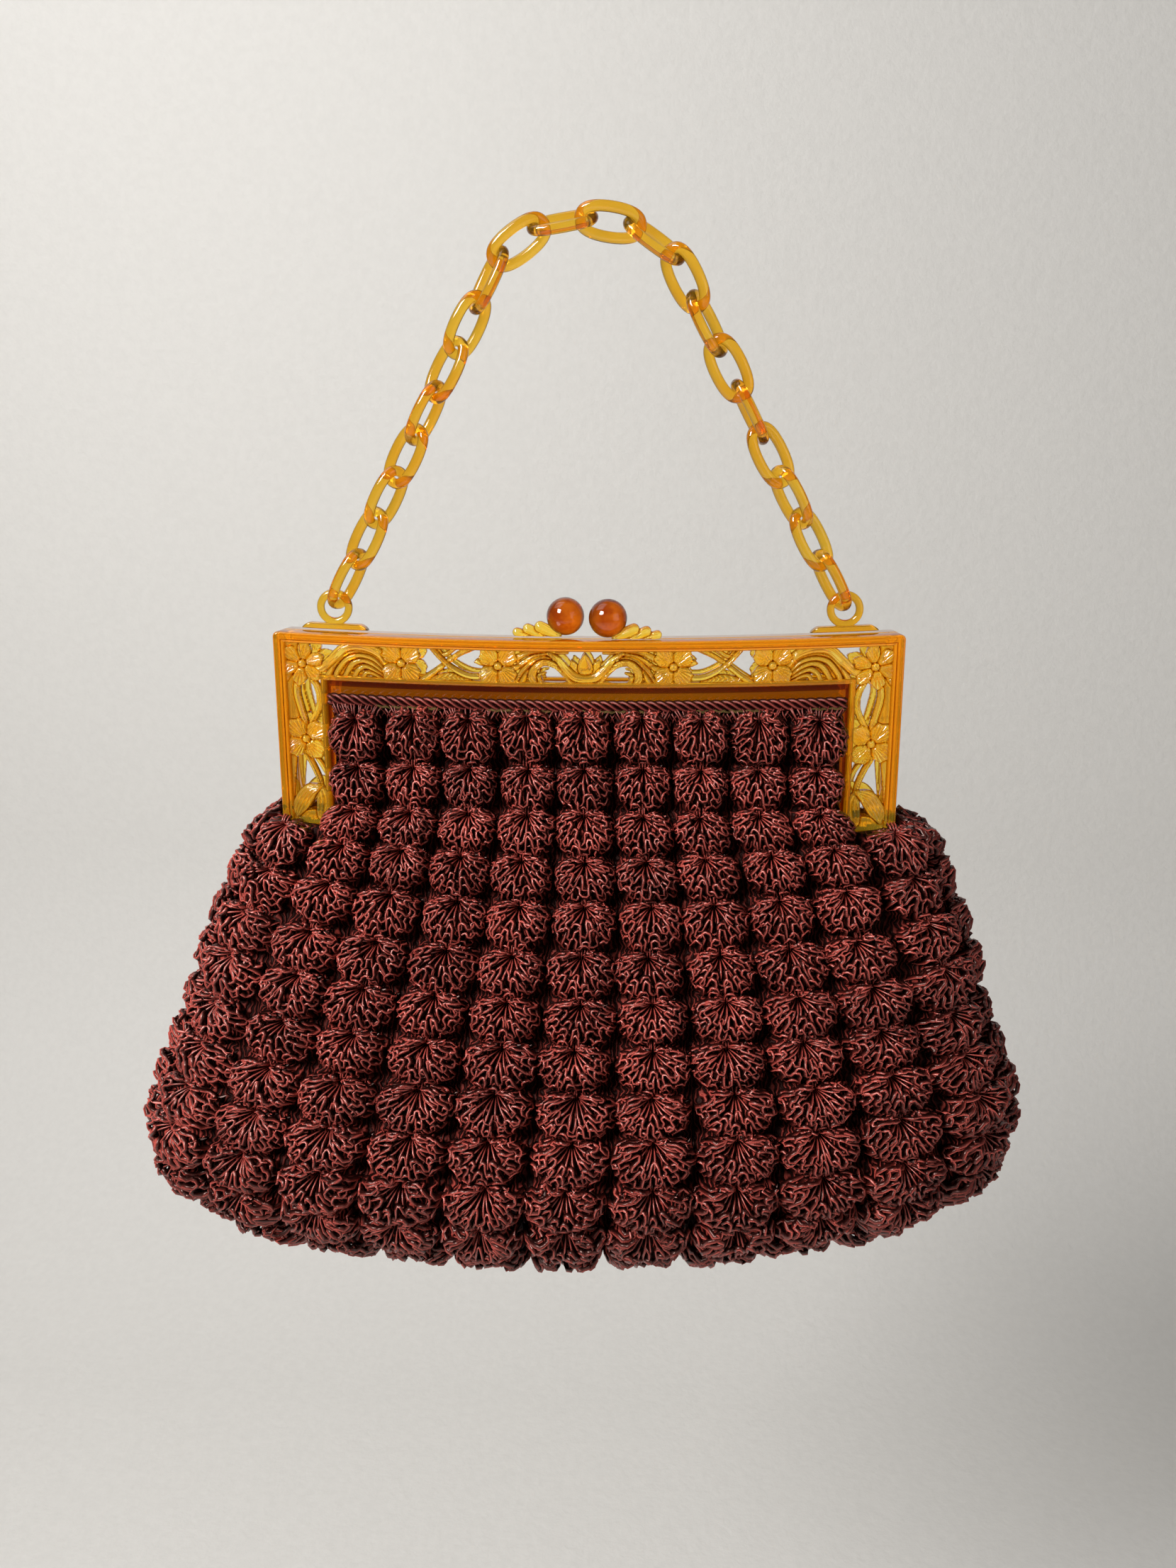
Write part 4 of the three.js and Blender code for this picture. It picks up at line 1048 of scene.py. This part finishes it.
def mouth_edge(facing):
    """Rope of four slanting strands along the ledge over a core, above two meandering strands and short bent
    posts that lean to the nearest pinhole."""
    x = np.linspace(-EDGE_END, EDGE_END, 170)
    turn = 2 * np.pi * (x / ROPE_TURN + np.arange(4)[:, None] / 4) * -facing
    strands = edge_point(x, ROPE_DROP + 1.1 * np.sin(turn), ROPE_OUT + 0.75 * np.cos(turn), facing)
    core = edge_point(x[::4], ROPE_DROP, 7.3, facing)[None]
    post_x = np.arange(-65, 65.1, POST_STEP)[:, None]
    post_x = post_x + 0.35 * rng.uniform(-1, 1, post_x.shape)
    t = np.linspace(0, 1, 5)
    pitch = POUCH[0, 5]
    pull = pitch * np.round(post_x / pitch) - post_x
    lean = 0.3 * pull * t + 0.5 * rng.uniform(-1, 1, post_x.shape) * np.sin(np.pi * t)
    posts = edge_point(post_x + lean, 16.9 + 3.6 * t, 7.6 + 1.9 * np.sin(np.pi * (0.1 + 0.6 * t)), facing)
    run = np.linspace(-65, 65, 380)
    phase = 2 * np.pi * (run / LOOP_STEP + np.array([0.0, 0.4])[:, None]) + 0.8 * np.sin(0.9 * run)
    bulge = 0.5 * np.cos(phase + np.array([0, 2])[:, None]) + 0.3 * np.sin(0.7 * run)
    loops = edge_point(run + 0.4 * np.sin(2 * phase), 19.2 + 1.5 * np.sin(phase), ROPE_OUT + bulge, facing)
    out = (0.0, facing, 0.0)
    return [cords(loops, out, CORD_RADIUS, CORD_SIDES), cords(strands, out, ROPE_RADIUS, 4),
            cords(core, out, CORE_RADIUS, 6), cords(posts, out, CORD_RADIUS, CORD_SIDES)]


def sewing(facing):
    """Olive thread that catches the rope to the ledge in slanting runs below it, in patches."""
    start = np.arange(-62, 62, STITCH_STEP)
    start = start[np.sin(0.23 * start) > -0.3]
    t = np.linspace(0, 1, 6)
    shift = np.array([0.0, 0.55, 1.1])[:, None, None]
    x = start[:, None] + 3.6 * t + shift
    drop = 17.4 + 0.35 * shift + 0.2 * np.sin(3 * x)
    lines = edge_point(x, drop, 8.9 + 0.25 * np.sin(np.pi * t), facing)
    return cords(lines, (0.0, facing, 0.0), THREAD_RADIUS, 4)


points, faces, uv = join_cords([*mouth_edge(-1), *mouth_edge(1)])
braid = make_piece("mouth_braid", points, faces, EDGE_CORD, uv=uv)
points, faces, uv = join_cords([sewing(-1), sewing(1)])
thread = make_piece("sewing_thread", points, faces, SEWING_THREAD, uv=uv)


# ---- stage

def backdrop():
    """A sheet that curves up from level to upright: a quarter round between two flats, carried across."""
    floor_z, back_y, bend = -750, 850, 350
    turn = np.linspace(0, np.pi / 2, 25)
    y = np.concatenate([[-1600], back_y - bend + bend * np.sin(turn), [back_y]])
    z = np.concatenate([[floor_z], floor_z + bend - bend * np.cos(turn), [1600]])
    points = np.stack(np.broadcast_arrays(np.linspace(-2200, 2200, 3)[:, None], y, z), -1)
    faces = [grid_faces(numbered(points[..., 0]))]
    make_mesh("backdrop", points.reshape(-1, 3), faces, BACKDROP_PAINT)


def soft_light(name, place, target, size, power, colour):
    """A square lamp turned to its target."""
    lamp = bpy.data.lights.new(name, "AREA")
    lamp.shape, lamp.size, lamp.energy, lamp.color = "SQUARE", size, power, colour
    holder = add_object(name, lamp)
    holder.location = place
    aim = Vector(target) - Vector(place)
    holder.rotation_euler = aim.to_track_quat("-Z", "Y").to_euler()


SENSOR, FOCAL_PIXELS, PICTURE_PIXELS = 36, 1700, 2212      # focal length measured in the photo's height


def camera():
    """The photo's viewpoint: a little above and to the right, looking down at the purse."""
    lens = bpy.data.cameras.new("camera")
    lens.sensor_width, lens.lens = SENSOR, SENSOR * FOCAL_PIXELS / PICTURE_PIXELS
    lens.clip_start, lens.clip_end = 0.01, 20
    holder = add_object("camera", lens)
    target, distance = Vector((0.0004, 0, -0.1387)), 0.319
    azimuth, elevation = math.radians(3), math.radians(13)
    back = Vector((math.sin(azimuth) * math.cos(elevation), -math.cos(azimuth) * math.cos(elevation),
                      math.sin(elevation)))
    holder.location = target + distance * back
    holder.rotation_euler = (-back).to_track_quat("-Z", "Y").to_euler()
    bpy.context.scene.camera = holder


PURSE_MIDDLE = (0, 0, -0.15)
backdrop()
soft_light("window", (-0.75, -0.85, 0.65), PURSE_MIDDLE, 0.5, 28, (1.0, 0.98, 0.95))
soft_light("room", (1.1, -0.8, 0.1), PURSE_MIDDLE, 0.9, 2.5, (1.0, 0.97, 0.93))
soft_light("backdrop_wash", (-0.7, 0.1, 1.1), (-0.2, 0.85, -0.2), 1.0, 6, (1.0, 0.98, 0.96))
world = bpy.data.worlds.new("studio")
bpy.context.scene.world = world
world.use_nodes = True
sky = world.node_tree.nodes["Background"].inputs
sky["Color"].default_value = (1.0, 0.985, 0.96, 1)
sky["Strength"].default_value = 0.07
bpy.context.scene.view_settings.view_transform = "Standard"
camera()
